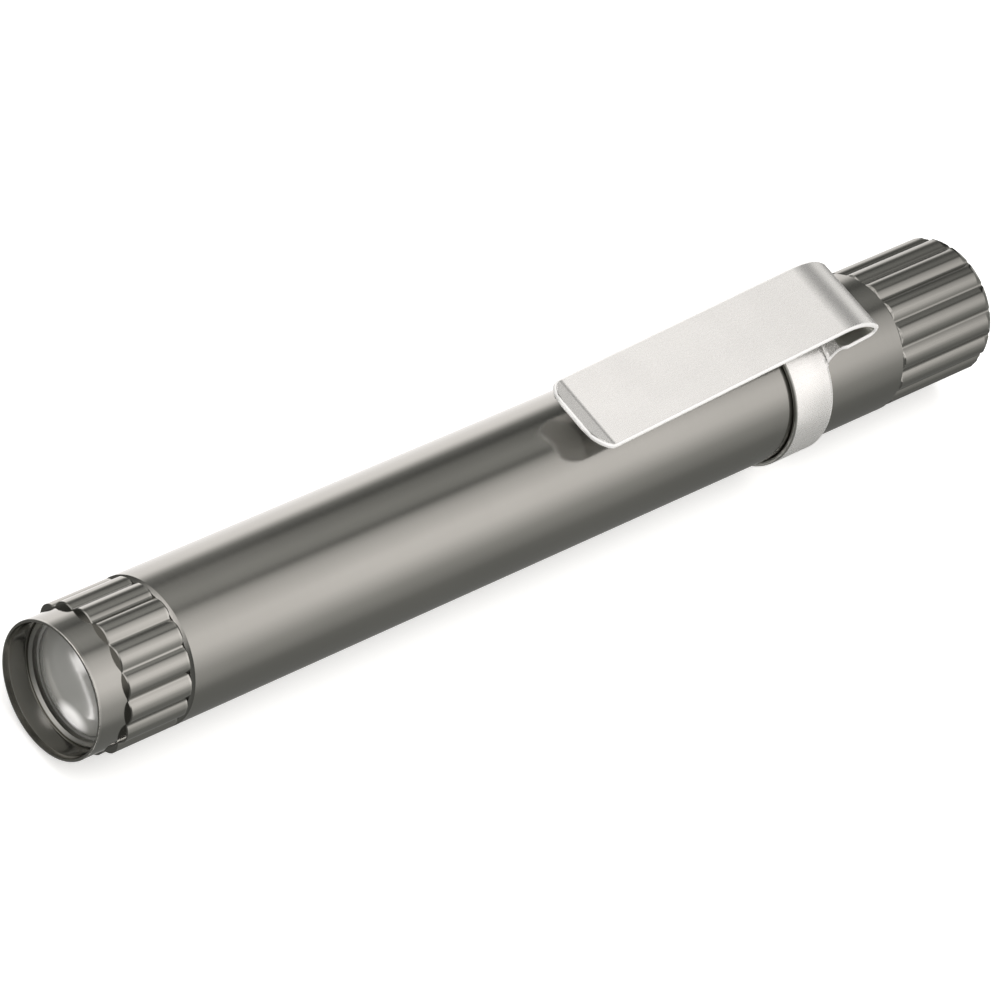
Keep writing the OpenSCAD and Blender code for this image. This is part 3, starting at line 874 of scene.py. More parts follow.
@dataclass
class Head(Shell):
    """Head of the torch: the turned shell, and the ring, seal and lens in its nose."""

    nose_step: float = 0.57
    rim_wall: float = 0.26
    rim_bevel: float = 0.45
    lobe_edge: float = 0.09
    recess_wall: float = 0.38
    ring_count: int = 6
    ring_depth: float = 0.02
    ring_wall: float = 0.42
    ring_bevel: float = 0.25
    lens_show: float = 0.52
    lens_rise: float = 1.6
    lens_steps: int = 24
    flange_t: float = 0.8
    seal_room: float = 0.04
    seal_steps: int = 20

    def __post_init__(self) -> None:
        """Works out the nose from the frame."""
        super().__post_init__()
        self.shoulder = FRONT_X / MM
        self.spigot_end = rear_of("head_shell")
        self.nose_r = self.barrel_r - self.nose_step
        self.recess_r = self.nose_r - self.recess_wall
        self.ring_front, self.ring_rear = front_of("lens_ring"), rear_of("lens_ring")
        self.lens_front, self.lens_rear = front_of("lens"), rear_of("lens")
        self.ring_r = radius_of("lens_ring")
        self.hole_r = self.ring_r - self.ring_wall
        self.lens_r = self.hole_r - self.lens_show

    def build(
        self,
        metal: bpy.types.Material,
        ring: bpy.types.Material,
        rubber: bpy.types.Material,
        glass: bpy.types.Material,
    ) -> None:
        """Makes the four pieces and puts them on the head.

        Args:
            metal: Finish of the shell.
            ring: Finish of the lens ring.
            rubber: Finish of the seal.
            glass: Finish of the lens.
        """
        place(self.shell(), "head", "anodised_body", [metal], "head_shell")
        place(self.lens_ring(), "head", "bright_ring", [ring], "lens_ring")
        place(self.lens_seal(), "head", "seal_rubber", [rubber], "lens_seal")
        place(self.lens(), "head", "lens_glass", [glass], "lens")

    def recess(self) -> Iterator[tuple[float, float]]:
        """Half section of the wall of the recess, with its fine turned rings.

        Yields:
            Points, each a radius and a station.
        """
        start = self.rim_bevel + 2 * self.fine_edge
        pitch = (self.ring_front - self.fine_edge - start) / self.ring_count
        yield self.recess_r, self.rim_bevel
        for ring in range(self.ring_count):
            station = start + pitch * ring
            yield self.recess_r, station
            yield self.recess_r + self.ring_depth, station + pitch / 2
        yield self.recess_r, self.ring_front - self.fine_edge

    def shell(self) -> bpy.types.Object:
        """Makes the turned shell: nose, recess, bore, spigot and flutes.

        Returns:
            The piece, laid down.
        """
        rear = self.head_joint - self.gap
        rim_r = self.nose_r - self.rim_wall
        profile = [
            (self.nose_r, self.shoulder),
            (self.nose_r, self.fine_edge),
            (self.nose_r - ROUNDED * self.fine_edge, ROUNDED * self.fine_edge),
            (self.nose_r - self.fine_edge, 0.0),
            (rim_r, 0.0),
            *self.recess(),
            (self.recess_r, self.lens_rear),
            (self.bore_r, self.lens_rear),
            (self.bore_r, self.spigot_end),
            (self.spigot_r - self.edge, self.spigot_end),
            (self.spigot_r, self.spigot_end - self.edge),
            *reversed(self.thread.profile(self.spigot_r, self.head_joint, 1)),
            (self.spigot_r, rear),
        ]
        bench = Bench("head_body")
        bench.draw_profile(profile)
        bench.lathe(self.flutes.around)
        small = 1 - self.lobe_edge / self.barrel_r
        self.flutes.draw(bench, self.shoulder, self.barrel_r - self.lobe_edge, 0.0)
        bench.pull(self.shoulder, self.shoulder + self.lobe_edge, 1 / small)
        bench.pull(self.shoulder + self.lobe_edge, rear - self.fine_edge)
        bench.pull(rear - self.fine_edge, rear)
        bench.turn_down(rear, self.barrel_r - self.fine_edge)
        bench.bridge(self.shoulder, self.nose_r)
        bench.bridge(rear, self.spigot_r)
        return bench.laid_down()

    def lens_ring(self) -> bpy.types.Object:
        """Makes the ring that holds the lens down.

        Returns:
            The piece, laid down.
        """
        fine = self.fine_edge
        profile = [
            (self.hole_r, self.ring_rear),
            (self.hole_r, self.ring_front + self.ring_bevel),
            (self.hole_r + self.ring_bevel, self.ring_front),
            (self.ring_r - fine, self.ring_front),
            (self.ring_r, self.ring_front + fine),
            (self.ring_r, self.ring_rear),
            (self.hole_r, self.ring_rear),
        ]
        bench = Bench("lens_retaining_ring")
        bench.draw_profile(profile)
        bench.lathe(self.flutes.around)
        return bench.laid_down()

    def lens_seal(self) -> bpy.types.Object:
        """Makes the round seal under the ring.

        Returns:
            The piece, laid down.
        """
        section = (rear_of("lens_seal") - front_of("lens_seal")) / 2
        middle = (rear_of("lens_seal") + front_of("lens_seal")) / 2
        ring_r = self.lens_r + self.seal_room + section
        bench = Bench("lens_o_ring")
        bench.move_to((ring_r + section, 0.0, middle))
        bench.swing(math.tau, (ring_r, 0.0, middle), self.seal_steps, (0, 1, 0))
        bench.lathe(self.flutes.around // 2)
        return bench.laid_down()

    def lens(self) -> bpy.types.Object:
        """Makes the domed lens with its flange.

        Returns:
            The piece, laid down.
        """
        sphere_r = (self.lens_r**2 + self.lens_rise**2) / (2 * self.lens_rise)
        open_angle = math.asin(self.lens_r / sphere_r)
        flange = self.lens_rear - self.flange_t
        flange_r = self.ring_r
        bench = Bench("domed_lens")
        bench.move_to((0.0, 0.0, self.lens_front))
        bench.swing(-open_angle, (0.0, 0.0, self.lens_front + sphere_r), self.lens_steps, (0, 1, 0))
        bench.pen = Vector((self.lens_r, 0.0, self.lens_front + self.lens_rise))
        for radius, station in (
            (self.lens_r, flange),
            (flange_r, flange),
            (flange_r, self.lens_rear),
            (0.0, self.lens_rear),
        ):
            bench.draw_to((radius, 0.0, station))
        bench.lathe(self.flutes.around // 2)
        return bench.laid_down()


@dataclass
class Barrel(Shell):
    """Smooth barrel, counterbored at both ends."""

    front_edge: float = 0.3
    counterbore_room: float = 0.08
    front_seat: float = 5.4
    rear_seat: float = 6.9
    bore_relief: float = 0.1

    def build(self, metal: bpy.types.Material) -> None:
        """Makes the tube and puts it in place.

        Args:
            metal: Its finish.
        """
        seat_r = self.spigot_r + self.counterbore_room
        bore_r = self.bore_r + self.bore_relief
        front, rear = self.head_joint, self.tail_joint
        profile = [
            (self.barrel_r, front + self.front_edge),
            (self.barrel_r, rear - self.edge),
            (self.barrel_r - self.edge, rear),
            (seat_r, rear),
            (seat_r, rear - self.rear_seat),
            (bore_r, rear - self.rear_seat),
            (bore_r, front + self.front_seat),
            (seat_r, front + self.front_seat),
            (seat_r, front),
            (self.barrel_r - self.front_edge, front),
            (self.barrel_r, front + self.front_edge),
        ]
        bench = Bench("barrel_body")
        bench.draw_profile(profile)
        bench.lathe(self.flutes.around)
        place(bench.laid_down(), "barrel", "anodised_body", [metal], "barrel_tube")


@dataclass
class TailCap(Shell):
    """Tail cap with its flutes, and the push button in its end."""

    phase: float = math.radians(13.25)
    end_edge: float = 0.35
    hole_room: float = 0.1
    button_r: float = 3.5
    mouth: float = 0.25
    crown: float = 0.5
    crown_steps: int = 12
    groove_r: float = 2.35
    groove_half: float = 0.22
    groove_depth: float = 0.14
    flange_t: float = 0.9
    room: float = 0.2
    stop_gap: float = 0.1

    def __post_init__(self) -> None:
        """Reads the cap's stations from the frame."""
        super().__post_init__()
        self.front = front_of("tail_cap_shell")
        self.end = rear_of("tail_cap_shell")
        self.switch_end = rear_of("switch_housing")
        self.flange_front = front_of("push_button")
        self.button_end = rear_of("push_button")
        self.flange_r = radius_of("push_button")
        self.end_r = self.barrel_r - self.end_edge

    def build(self, metal: bpy.types.Material, rubber: bpy.types.Material) -> None:
        """Makes the cap and the button and puts them in place.

        Args:
            metal: Finish of the cap.
            rubber: Finish of the button.
        """
        place(self.shell(), "tail_cap", "anodised_body", [metal], "tail_cap_shell")
        place(self.button(), "button", "button_rubber", [rubber], "push_button")

    def shell(self) -> bpy.types.Object:
        """Makes the turned cap: button hole, switch bore, spigot and flutes.

        Returns:
            The piece, laid down.
        """
        start = self.tail_joint + self.gap
        hole_r = self.button_r + self.hole_room
        wall_front = self.flange_front + self.flange_t + self.stop_gap
        profile = [
            (hole_r + self.mouth, self.end),
            (hole_r, self.end - self.mouth),
            (hole_r, wall_front),
            (self.flange_r + self.room, wall_front),
            (self.flange_r + self.room, self.switch_end),
            (self.bore_r, self.switch_end),
            (self.bore_r, self.front),
            (self.spigot_r - self.edge, self.front),
            (self.spigot_r, self.front + self.edge),
            *reversed(self.thread.profile(self.spigot_r, self.tail_joint, -1)),
            (self.spigot_r, start),
        ]
        bench = Bench("tail_cap_body")
        bench.draw_profile(profile)
        bench.lathe(self.flutes.around)
        self.flutes.draw(bench, start, self.barrel_r, self.phase)
        bench.pull(start, start + self.edge)
        bench.pull(start + self.edge, self.end - 2 * self.end_edge)
        bench.pull(self.end - 2 * self.end_edge, self.end - self.end_edge)
        bench.pull(self.end - self.end_edge, self.end)
        bench.turn_down(start, self.barrel_r - self.edge)
        bench.turn_down(self.end - self.end_edge, self.barrel_r - ROUNDED * self.end_edge)
        bench.turn_down(self.end, self.end_r)
        bench.bridge(start, self.spigot_r)
        bench.bridge(self.end, hole_r + self.mouth)
        return bench.laid_down()

    def button(self) -> bpy.types.Object:
        """Makes the push button, with a shallow ring groove in its crown.

        Returns:
            The piece, laid down.
        """
        crown_r = (self.button_r**2 + self.crown**2) / (2 * self.crown)
        centre = self.button_end - crown_r
        bench = Bench("tail_button")
        bench.draw_profile([
            (0.0, self.flange_front),
            (self.flange_r - self.fine_edge, self.flange_front),
            (self.flange_r, self.flange_front + self.fine_edge),
            (self.flange_r, self.flange_front + self.flange_t),
            (self.button_r, self.flange_front + self.flange_t),
        ])
        rim = math.asin(self.button_r / crown_r)
        for step in range(self.crown_steps + 1):
            angle = rim * (1 - step / self.crown_steps)
            radius = crown_r * math.sin(angle)
            dip = max(0.0, 1 - ((radius - self.groove_r) / self.groove_half) ** 2)
            height = centre + crown_r * math.cos(angle) - self.groove_depth * dip
            bench.draw_to((radius, 0.0, height))
        bench.lathe(self.flutes.around // 2)
        return bench.laid_down()


class ClipEnd(Enum):
    """The bodies that the clip's sheet joins."""

    BAND = "clip"
    ARM = "clip_spring_arm"


class ClipFace(IntEnum):
    """The clip's material slots."""

    STEEL = 0
    # Paler steel: painted highlight on the sheet's edges and painted light under the lip
    EDGE = 1
    # Darker steel: painted shade inside the fold, under the arm and at the band's front edge
    INSIDE = 2


@dataclass(frozen=True)
class SheetRow:
    """One row across the clip's sheet: its station, its height and half its width."""

    station: float
    up: float
    half: float


@dataclass
class PocketClip(Shell):
    """Pocket clip, bent from one sheet: band, neck, strap, fold, arm and lip."""

    sheet_t: float = 0.5
    band_w: float = 5.35
    band_steps: int = 144
    band_open: float = math.radians(70)
    neck_half: float = 3.95
    neck_fillet: float = 0.6
    neck_start: float = math.radians(30)
    neck_steps: int = 5
    neck_len: float = 0.3
    flare_len: float = 0.9
    flat_run: float = 1.7
    band_loops: tuple[float, ...] = (0.4, 1.2)
    strap_rise: float = math.radians(9.5)
    strap_lift: float = 0.13
    strap_lap: float = 0.5
    strap_len: float = 5.2
    fold_r: float = 0.7
    fold_half: float = 4.35
    fold_steps: int = 16
    ramp_rise: float = math.radians(35)
    ramp_len: float = 0.6
    crest_r: float = 7.75
    crest_steps: int = 18
    arm_len: float = 30.2
    arm_steps: int = 8
    tip_steps: int = 4
    lip_r: float = 1.5
    lip_rise: float = math.radians(18.3)
    lip_len: float = 2.13
    lip_steps: int = 6
    tip_half: float = 4.4
    tip_clear: float = 1.39
    arm_slope: float = math.radians(5.45)
    corner_r: float = 2.8
    corner_start: float = math.radians(25)
    corner_steps: int = 7
    soft_edge: float = 0.2
    soft_steps: int = 4
    soft_angle: float = math.radians(50)
    # Length of the bend in the fold, as a share of the fold's radius
    bend_share: float = 1.3
    # How far a face's normal points up or down for its upper or lower side, and sideways for its rim
    upright: float = 0.3
    sideways: float = 0.5

    def __post_init__(self) -> None:
        """Works out where the sheet runs."""
        super().__post_init__()
        self.band_front = front_of("clip_band")
        self.band_rear = self.band_front + self.band_w
        self.band_r = radius_of("clip_band") - self.sheet_t / 2
        self.lip_station = self.band_front - self.arm_len
        self.fold_station = self.band_rear - self.strap_lap + self.strap_len * math.cos(self.strap_rise)

    def build(
        self, steel: bpy.types.Material, bright: bpy.types.Material, painted_shading: bpy.types.Material
    ) -> None:
        """Makes the clip in one piece, which bends in its fold.

        Args:
            steel: Finish of its faces.
            bright: Paler finish, painted highlight on its edges and painted light under its lip.
            painted_shading: Darker finish, painted shade inside the fold, under the arm and on the band's
                front edge.
        """
        piece = self.sheet()
        self.thicken(piece)
        lay_down(piece)
        dress(piece, steel, bright, painted_shading)
        low, high = self.fold_limits()
        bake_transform(piece)
        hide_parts("clip_band", "clip_arm")
        bodies = ", ".join(end.value for end in ClipEnd)
        log.info("%s: %d faces on %s", piece.name, len(piece.data.polygons), bodies)

    def strap_up(self, station: float) -> float:
        """Height of the strap's middle at a station.

        Args:
            station: The station.

        Returns:
            The height above the axis.
        """
        start = self.band_rear - self.strap_lap
        start_up = self.band_r + self.sheet_t / 2 + self.strap_lift
        return start_up + (station - start) * math.tan(self.strap_rise)

    def neck_rows(self, wide: float) -> list[SheetRow]:
        """Rows from the band's rear edge, through the neck's fillet, to the strap's full width.

        Args:
            wide: Half the width of the band's edge that the neck starts from.

        Returns:
            The rows, in order.
        """
        fillet = (wide - self.neck_half) / (1 - math.sin(self.neck_start))
        reach = fillet * math.cos(self.neck_start)
        runs = []
        for step in range(1, self.neck_steps + 1):
            turn = self.neck_start + (math.pi / 2 - self.neck_start) * step / self.neck_steps
            runs.append((reach - fillet * math.cos(turn), self.neck_half + fillet * (1 - math.sin(turn))))
        runs.append((reach + self.neck_len, self.neck_half))
        spread = self.fold_half - self.neck_half
        for step in range(1, self.neck_steps + 1):
            share = step / self.neck_steps
            run = reach + self.neck_len + self.flare_len * share
            runs.append((run, self.neck_half + spread * (1 - math.cos(math.pi * share)) / 2))
        places = [(self.band_rear + run, half) for run, half in runs]
        return [SheetRow(station, self.strap_up(station), half) for station, half in places]

    def arm_drop(self, crest_up: float) -> float:
        """Slope of the arm that brings the lip's bend to its gap from the barrel.

        Args:
            crest_up: Height of the sheet's middle where the crest's bend starts.

        Returns:
            The slope, in radians.
        """
        low_up = self.barrel_r + self.tip_clear + self.sheet_t / 2
        level = low_up - crest_up + self.crest_r * math.cos(self.ramp_rise) + self.lip_r
        reach = self.crest_r + self.lip_r
        return math.acos(level / math.hypot(reach, self.arm_len)) - math.atan2(self.arm_len, reach)

    def run_rows(self) -> list[SheetRow]:
        """Rows from the strap, round the fold and the crest, down the arm to the lip's end.

        Returns:
            The rows, in order.
        """
        start = self.band_rear - self.strap_lap
        path = SheetPath(start, self.strap_up(start), self.strap_rise)
        path.go(self.strap_len, 1)
        path.bend(math.pi - self.ramp_rise - self.strap_rise, self.fold_r, self.fold_steps)
        path.go(self.ramp_len, 1)
        drop = self.arm_drop(path.points[-1].y)
        path.bend(self.ramp_rise + drop, self.crest_r, self.crest_steps)
        path.go(self.arm_len - self.corner_r, self.arm_steps)
        path.go(self.corner_r, self.tip_steps)
        self.lip_station = path.points[-1].x
        path.bend(-self.lip_rise - drop, -self.lip_r, self.lip_steps)
        step_turn = (math.pi / 2 - self.corner_start) / self.corner_steps
        turns = [self.corner_start + step_turn * step for step in range(self.corner_steps, -1, -1)]
        stops = [back for back in (self.corner_r * (1 - math.cos(a)) for a in turns) if back < self.lip_len]
        stops.append(0.0)
        for near, far in zip([self.lip_len, *stops], stops):
            path.go(near - far, 1)
        rows = []
        for point, run in list(zip(path.points, path.runs))[1:]:
            back = path.length - run
            half = self.fold_half + (self.tip_half - self.fold_half) * run / path.length
            if back < self.corner_r:
                half += math.sqrt(max(0.0, back * (2 * self.corner_r - back))) - self.corner_r
            rows.append(SheetRow(point.x, point.y, half))
        return rows

    def sheet(self) -> bpy.types.Object:
        """Draws the middle of the sheet: the open band, then row after row of the strap and the arm.

        Returns:
            The sheet without its thickness, on the bench.
        """
        bench = Bench("pocket_clip")
        bpy.ops.mesh.delete(type="VERT")
        middle = (self.band_front + self.band_rear) / 2
        bpy.ops.mesh.primitive_cylinder_add(
            vertices=self.band_steps, radius=self.band_r, depth=self.band_w, end_fill_type="NOTHING",
            location=(0, 0, middle),
        )
        for inset in self.band_loops:
            bpy.ops.mesh.select_all(action="SELECT")
            bpy.ops.mesh.bisect(plane_co=(0, 0, self.band_rear - inset), plane_no=(0, 0, 1))
        closed = math.pi - self.band_open / 2
        bench.select(lambda co: abs(math.atan2(co.y, co.x)) > closed + SAME)
        bpy.ops.mesh.delete(type="VERT")
        wide = self.neck_half + self.neck_fillet
        bench.select(lambda co: abs(co.z - self.band_rear) < SAME and co.x > 0 and abs(co.y) < wide + SAME)
        half = max(abs(v.co.y) for v in bench.vertices() if v.select)
        flat, height, station = 0.0, 0.0, self.band_rear
        for row in self.neck_rows(half):
            share = min(1.0, (row.station - self.band_rear) / self.flat_run)
            new_flat = share * share * (3 - 2 * share)
            bench.pull(station, row.station)
            keep = 0.0 if flat == 1.0 else (1 - new_flat) / (1 - flat)
            pivot = row.up if flat == 1.0 else (new_flat * row.up - keep * flat * height) / (1 - keep)
            bench.resize((keep, row.half / half, 1.0), (pivot, 0, row.station))
            flat, height, station, half = new_flat, row.up, row.station, row.half
        bench.pen = Vector((height, 0.0, station))
        for row in self.run_rows():
            bench.draw_to((row.up, 0.0, row.station))
            bench.resize((1.0, row.half / half, 1.0), bench.pen)
            half = row.half
        return bench.done()

    def thicken(self, piece: bpy.types.Object) -> None:
        """Gives the sheet its thickness and its softened edges, and picks the faces that carry painted
        light and painted shade.

        Args:
            piece: The sheet, on the bench.
        """
        for _ in ClipFace:
            piece.data.materials.append(None)
        solid = piece.modifiers.new("Sheet", "SOLIDIFY")
        solid.thickness = self.sheet_t
        solid.offset = 0.0
        solid.use_even_offset = True
        solid.material_offset_rim = ClipFace.EDGE
        bpy.ops.object.modifier_apply(modifier=solid.name)
        bpy.ops.object.mode_set(mode="EDIT")
        bpy.ops.mesh.select_all(action="SELECT")
        bpy.ops.mesh.normals_make_consistent(inside=False)
        bpy.ops.object.mode_set(mode="OBJECT")
        for face in piece.data.polygons:
            # Painted shade inside the fold and under the arm; painted light on the lip's underside
            if face.material_index == ClipFace.STEEL and self.gets_painted_shade(face):
                face.material_index = ClipFace.INSIDE
            elif face.center.z < self.lip_station and face.normal.x < -self.upright:
                face.material_index = ClipFace.EDGE
        soft = piece.modifiers.new("Edges", "BEVEL")
        soft.width = self.soft_edge
        soft.segments = self.soft_steps
        soft.limit_method = "ANGLE"
        soft.angle_limit = self.soft_angle
        soft.use_clamp_overlap = False
        soft.loop_slide = False
        soft.material = ClipFace.EDGE
        soft.harden_normals = True
        bpy.ops.object.modifier_apply(modifier=soft.name)
        bpy.ops.object.mode_set(mode="EDIT")
        bpy.ops.mesh.select_all(action="SELECT")
        bpy.ops.mesh.dissolve_degenerate(threshold=SAME)
        bpy.ops.object.mode_set(mode="OBJECT")
        # Painted shade on the band's front edge, over its gap to the barrel
        for face in piece.data.polygons:
            low = face.center.x < self.band_r + self.sheet_t
            if low and face.center.z < self.band_front + self.soft_edge:
                face.material_index = ClipFace.INSIDE

    def gets_painted_shade(self, face: bpy.types.MeshPolygon) -> bool:
        """Whether a face gets painted shade: inside the fold or under the arm.

        Args:
            face: A face of the thickened sheet, on the bench.

        Returns:
            True for the strap's upper side behind the neck, the fold's hollow and the arm's side over them.
        """
        up, station = face.center.x, face.center.z
        fold_up = self.strap_up(self.fold_station) + self.fold_r
        if abs(face.normal.y) > self.sideways:
            return False
        if station > self.fold_station - self.fold_r / 2:
            return math.hypot(up - fold_up, station - self.fold_station) < self.fold_r
        if up > fold_up:
            return face.normal.x < -self.upright and station > self.band_front
        return station > self.band_rear + 2 * self.neck_fillet and face.normal.x > self.upright

    def fold_limits(self) -> tuple[Vector, Vector]:
        """Two points on a line across the fold, between which the sheet bends.

        Returns:
            The point up to which the sheet follows the band, and the one past which it follows the arm.
        """
        strap_top = self.strap_up(self.fold_station) + self.sheet_t / 2
        start = to_frame(self.fold_station, 0.0, strap_top)
        way = Vector((math.sin(self.arm_slope), 0.0, math.cos(self.arm_slope)))
        return start, start + way * (self.fold_r * self.bend_share * MM)


class SheetPath:
    """Side view of a bent sheet, followed along its middle."""

    def __init__(self, station: float, up: float, heading: float) -> None:
        """Starts at a place, with a heading above the way to the tail, in radians.

        Args:
            station: Where it starts along the torch.
            up: Its height there.
            heading: The heading.
        """
        self.points = [Vector((station, up))]
        self.runs = [0.0]
        self.heading = heading

    @property
    def length(self) -> float:
        """Length of the sheet so far."""
        return self.runs[-1]

    def go(self, run: float, steps: int) -> None:
        """Goes straight on, in equal steps.

        Args:
            run: The way to go.
            steps: Number of steps.
        """
        way = Vector((math.cos(self.heading), math.sin(self.heading)))
        for _ in range(steps):
            self.points.append(self.points[-1] + way * (run / steps))
            self.runs.append(self.runs[-1] + run / steps)

    def bend(self, turn: float, radius: float, steps: int) -> None:
        """Bends to the left.

        Args:
            turn: The bend, in radians.
            radius: Its radius, at the sheet's middle.
            steps: Number of segments.
        """
        side = Vector((-math.sin(self.heading), math.cos(self.heading)))
        centre = self.points[-1] + side * radius
        for _ in range(steps):
            self.heading += turn / steps
            self.points.append(centre + radius * Vector((math.sin(self.heading), -math.cos(self.heading))))
            self.runs.append(self.runs[-1] + radius * turn / steps)


@dataclass(frozen=True)
class Camera:
    """Camera at the photograph's viewing angle."""

    aim: tuple[float, float, float] = (-51.74, 0.45, 0.0)
    azimuth: float = 117.86
    elevation: float = 44.93
    distance: float = 494.64
    roll: float = 29.62
    lens: float = 188.43
    sensor: float = 36.0
    # Nearest and farthest distance that it sees, in metres
    reach: tuple[float, float] = (0.01, 100.0)

    def build(self) -> None:
        """Makes the camera and gives it to the scene."""
        data = bpy.data.cameras.new("camera")
        data.lens = self.lens
        data.sensor_width = self.sensor
        data.clip_start, data.clip_end = self.reach
        camera = bpy.data.objects.new("camera", data)
        bpy.context.scene.collection.objects.link(camera)
        turn, rise = math.radians(self.azimuth), math.radians(self.elevation)
        back = Vector((math.sin(turn) * math.cos(rise), -math.cos(turn) * math.cos(rise), math.sin(rise)))
        camera.location = (Vector(self.aim) + back * self.distance) * MM
        look = (-back).to_track_quat("-Z", "Y").to_matrix()
        camera.rotation_euler = (look @ Matrix.Rotation(math.radians(self.roll), 3, "Z")).to_euler()
        bpy.context.scene.camera = camera


@dataclass(frozen=True)
class Studio:
    """White floor in a light tent, whose walls are bright and dark by their direction from the torch."""

    # Walls that the barrel mirrors: angle from overhead, in degrees, away from the camera, and brightness
    ring: tuple[tuple[float, float], ...] = (
        (-180.0, 0.22), (-120.0, 0.33), (-88.0, 0.68), (-56.0, 1.62), (-38.0, 1.7), (-10.0, 1.12),
        (0.0, 0.72), (7.0, 0.18), (16.0, 0.46), (28.0, 0.53), (50.0, 0.33), (60.0, 0.1),
        (75.0, 0.3), (92.0, 1.7), (145.0, 1.38), (170.0, 0.25), (180.0, 0.22),
    )
    ring_place: float = -0.626
    ring_inner: float = 0.078
    ring_outer: float = 0.1
    # The ring's far end is dimmer
    far_place: tuple[float, float] = (-0.71, -0.63)
    far_dim: float = 0.78
    # Upper walls: share of the way to the front, and brightness
    length: tuple[tuple[float, float], ...] = (
        (-1.0, 0.76), (-0.94, 0.72), (-0.89, 0.04), (-0.72, 0.04), (-0.57, 1.08),
        (0.1, 1.02), (0.35, 0.5), (0.6, 1.0), (0.75, 1.6), (1.0, 0.6),
    )
    # The dark wall behind the tail stands only where the clip's crest mirrors it; its sides are paler
    shade_across: float = -0.32
    shade_fade: tuple[float, float] = (0.2, 0.35)
    shade_front: tuple[float, float] = (-0.65, -0.57)
    side_wall: float = 0.4
    # How far the upper walls come down towards the tail's end
    back_fall: float = 0.6
    low_wall: float = 0.17
    low_fade: float = 0.15
    # Lights by the front: an arc about a direction, for the lens, and a spot, for the end of the clip's lip
    arc_about: Colour = (0.6, -0.35, -0.72)
    arc_angle: float = 26.8
    arc_half: float = 2.4
    arc_side: Colour = (0.55, 0.55, 0.2)
    # Where the arc fades: from its middle line to its edge, and at its end
    arc_soft: tuple[float, float] = (0.4, 1.0)
    arc_end: tuple[float, float] = (0.02, 0.2)
    spot: Colour = (0.92, -0.33, -0.19)
    spot_half: float = 13.0
    spot_core: float = 13.0 / 3
    lens_light: float = 5.0
    bright: Colour = (1.0, 0.972, 0.955)
    dark: Colour = (0.985, 1.0, 0.945)
    bright_at: float = 1.2
    brightest: float = 2.0
    floor_half: float = 3.0
    floor_colour: Colour = (0.95, 0.95, 0.945)
    floor_cloud: float = 40.0
    floor_tone: float = 0.99
    floor_roughness: float = 0.9
    floor_gloss: float = 0.1
    floor_glow: float = 0.45
    top_power: float = 4.0
    top_size: float = 1.2
    top_place: tuple[float, float, float] = (-0.05, 0.0, 0.9)

    def build(self) -> None:
        """Makes the tent, the floor and the light over it."""
        scene = bpy.context.scene
        scene.view_settings.view_transform = "Standard"
        self.tent(scene)
        self.floor()
        self.top_light(scene)

    def wall_colour(self, light: float) -> Colour:
        """Colour of a wall of some brightness, as a share of the brightest: the bright ones are warmer.

        Args:
            light: The wall's brightness.

        Returns:
            The colour.
        """
        share = min(1.0, light / self.bright_at)
        tints = zip(self.dark, self.bright)
        return tuple((cool + (warm - cool) * share) * light / self.brightest for cool, warm in tints)

    def tent(self, scene: bpy.types.Scene) -> None:
        """Makes the tent's walls as the world.

        Args:
            scene: The scene that gets the world.
        """
        world = bpy.data.worlds.new("light_tent")
        world.use_nodes = True
        scene.world = world
        sheet = NodeSheet(world.node_tree)
        way = sheet.node("ShaderNodeTexCoord", out="Generated")
        along, across, up = sheet.parts(way)
        angle = (across * -1.0).angle_from(up) / math.tau + 0.5
        ring_stops = [((wall + 180) / 360, self.wall_colour(light)) for wall, light in self.ring]
        ring = sheet.node("ShaderNodeValToRGB", {"stops": ring_stops}, {0: angle})
        dim = along.ramp(*self.far_place, self.far_dim, 1.0)
        ring = sheet.node("ShaderNodeVectorMath", {"operation": "SCALE"}, {0: ring, "Scale": dim})
        length_stops = [((share + 1) / 2, self.wall_colour(light)) for share, light in self.length]
        upper = sheet.node("ShaderNodeValToRGB", {"stops": length_stops}, {0: along * 0.5 + 0.5})
        aside = abs(across - self.shade_across).ramp(*self.shade_fade)
        aside *= along.ramp(*self.shade_front, 1.0, 0.0)
        upper = sheet.mix(aside, upper, self.wall_colour(self.side_wall))
        height = up - self.back_fall * along
        rest = sheet.mix(height.ramp(-self.low_fade, self.low_fade), self.wall_colour(self.low_wall), upper)
        glossy = sheet.node("ShaderNodeLightPath", out="Is Glossy Ray")
        glow = (self.arc(sheet, way) + self.disc(sheet, way)).least(1.0) * glossy
        rest = sheet.mix(glow, rest, self.wall_colour(self.lens_light))
        in_ring = abs(along - self.ring_place).ramp(self.ring_inner, self.ring_outer, 1.0, 0.0)
        background = world.node_tree.nodes["Background"]
        sheet.feed(background.inputs["Color"], sheet.mix(in_ring, rest, ring))
        sheet.feed(background.inputs["Strength"], self.brightest)

    def arc(self, sheet: NodeSheet, way: Wire) -> Wire:
        """Mask of the arc of light under the front.

        Args:
            sheet: The world's nodes.
            way: The direction looked in.

        Returns:
            1 in the arc and 0 elsewhere.
        """
        middle = Vector(self.arc_about).normalized()
        side = Vector(self.arc_side)
        side = (side - middle * side.dot(middle)).normalized()
        limits = (self.arc_angle - self.arc_half, self.arc_angle + self.arc_half)
        near, far = (math.cos(math.radians(limit)) for limit in limits)
        half = (near + far) / 2
        level = abs(sheet.dot(way, middle) - half) / ((near - far) / 2)
        return level.ramp(*self.arc_soft, 1.0, 0.0) * sheet.dot(way, side).ramp(*self.arc_end)

    def disc(self, sheet: NodeSheet, way: Wire) -> Wire:
        """Mask of the spot of light before the front, with the same arguments and result as the arc's."""
        edge, core = (math.cos(math.radians(angle)) for angle in (self.spot_half, self.spot_core))
        return sheet.dot(way, Vector(self.spot).normalized()).ramp(edge, core)

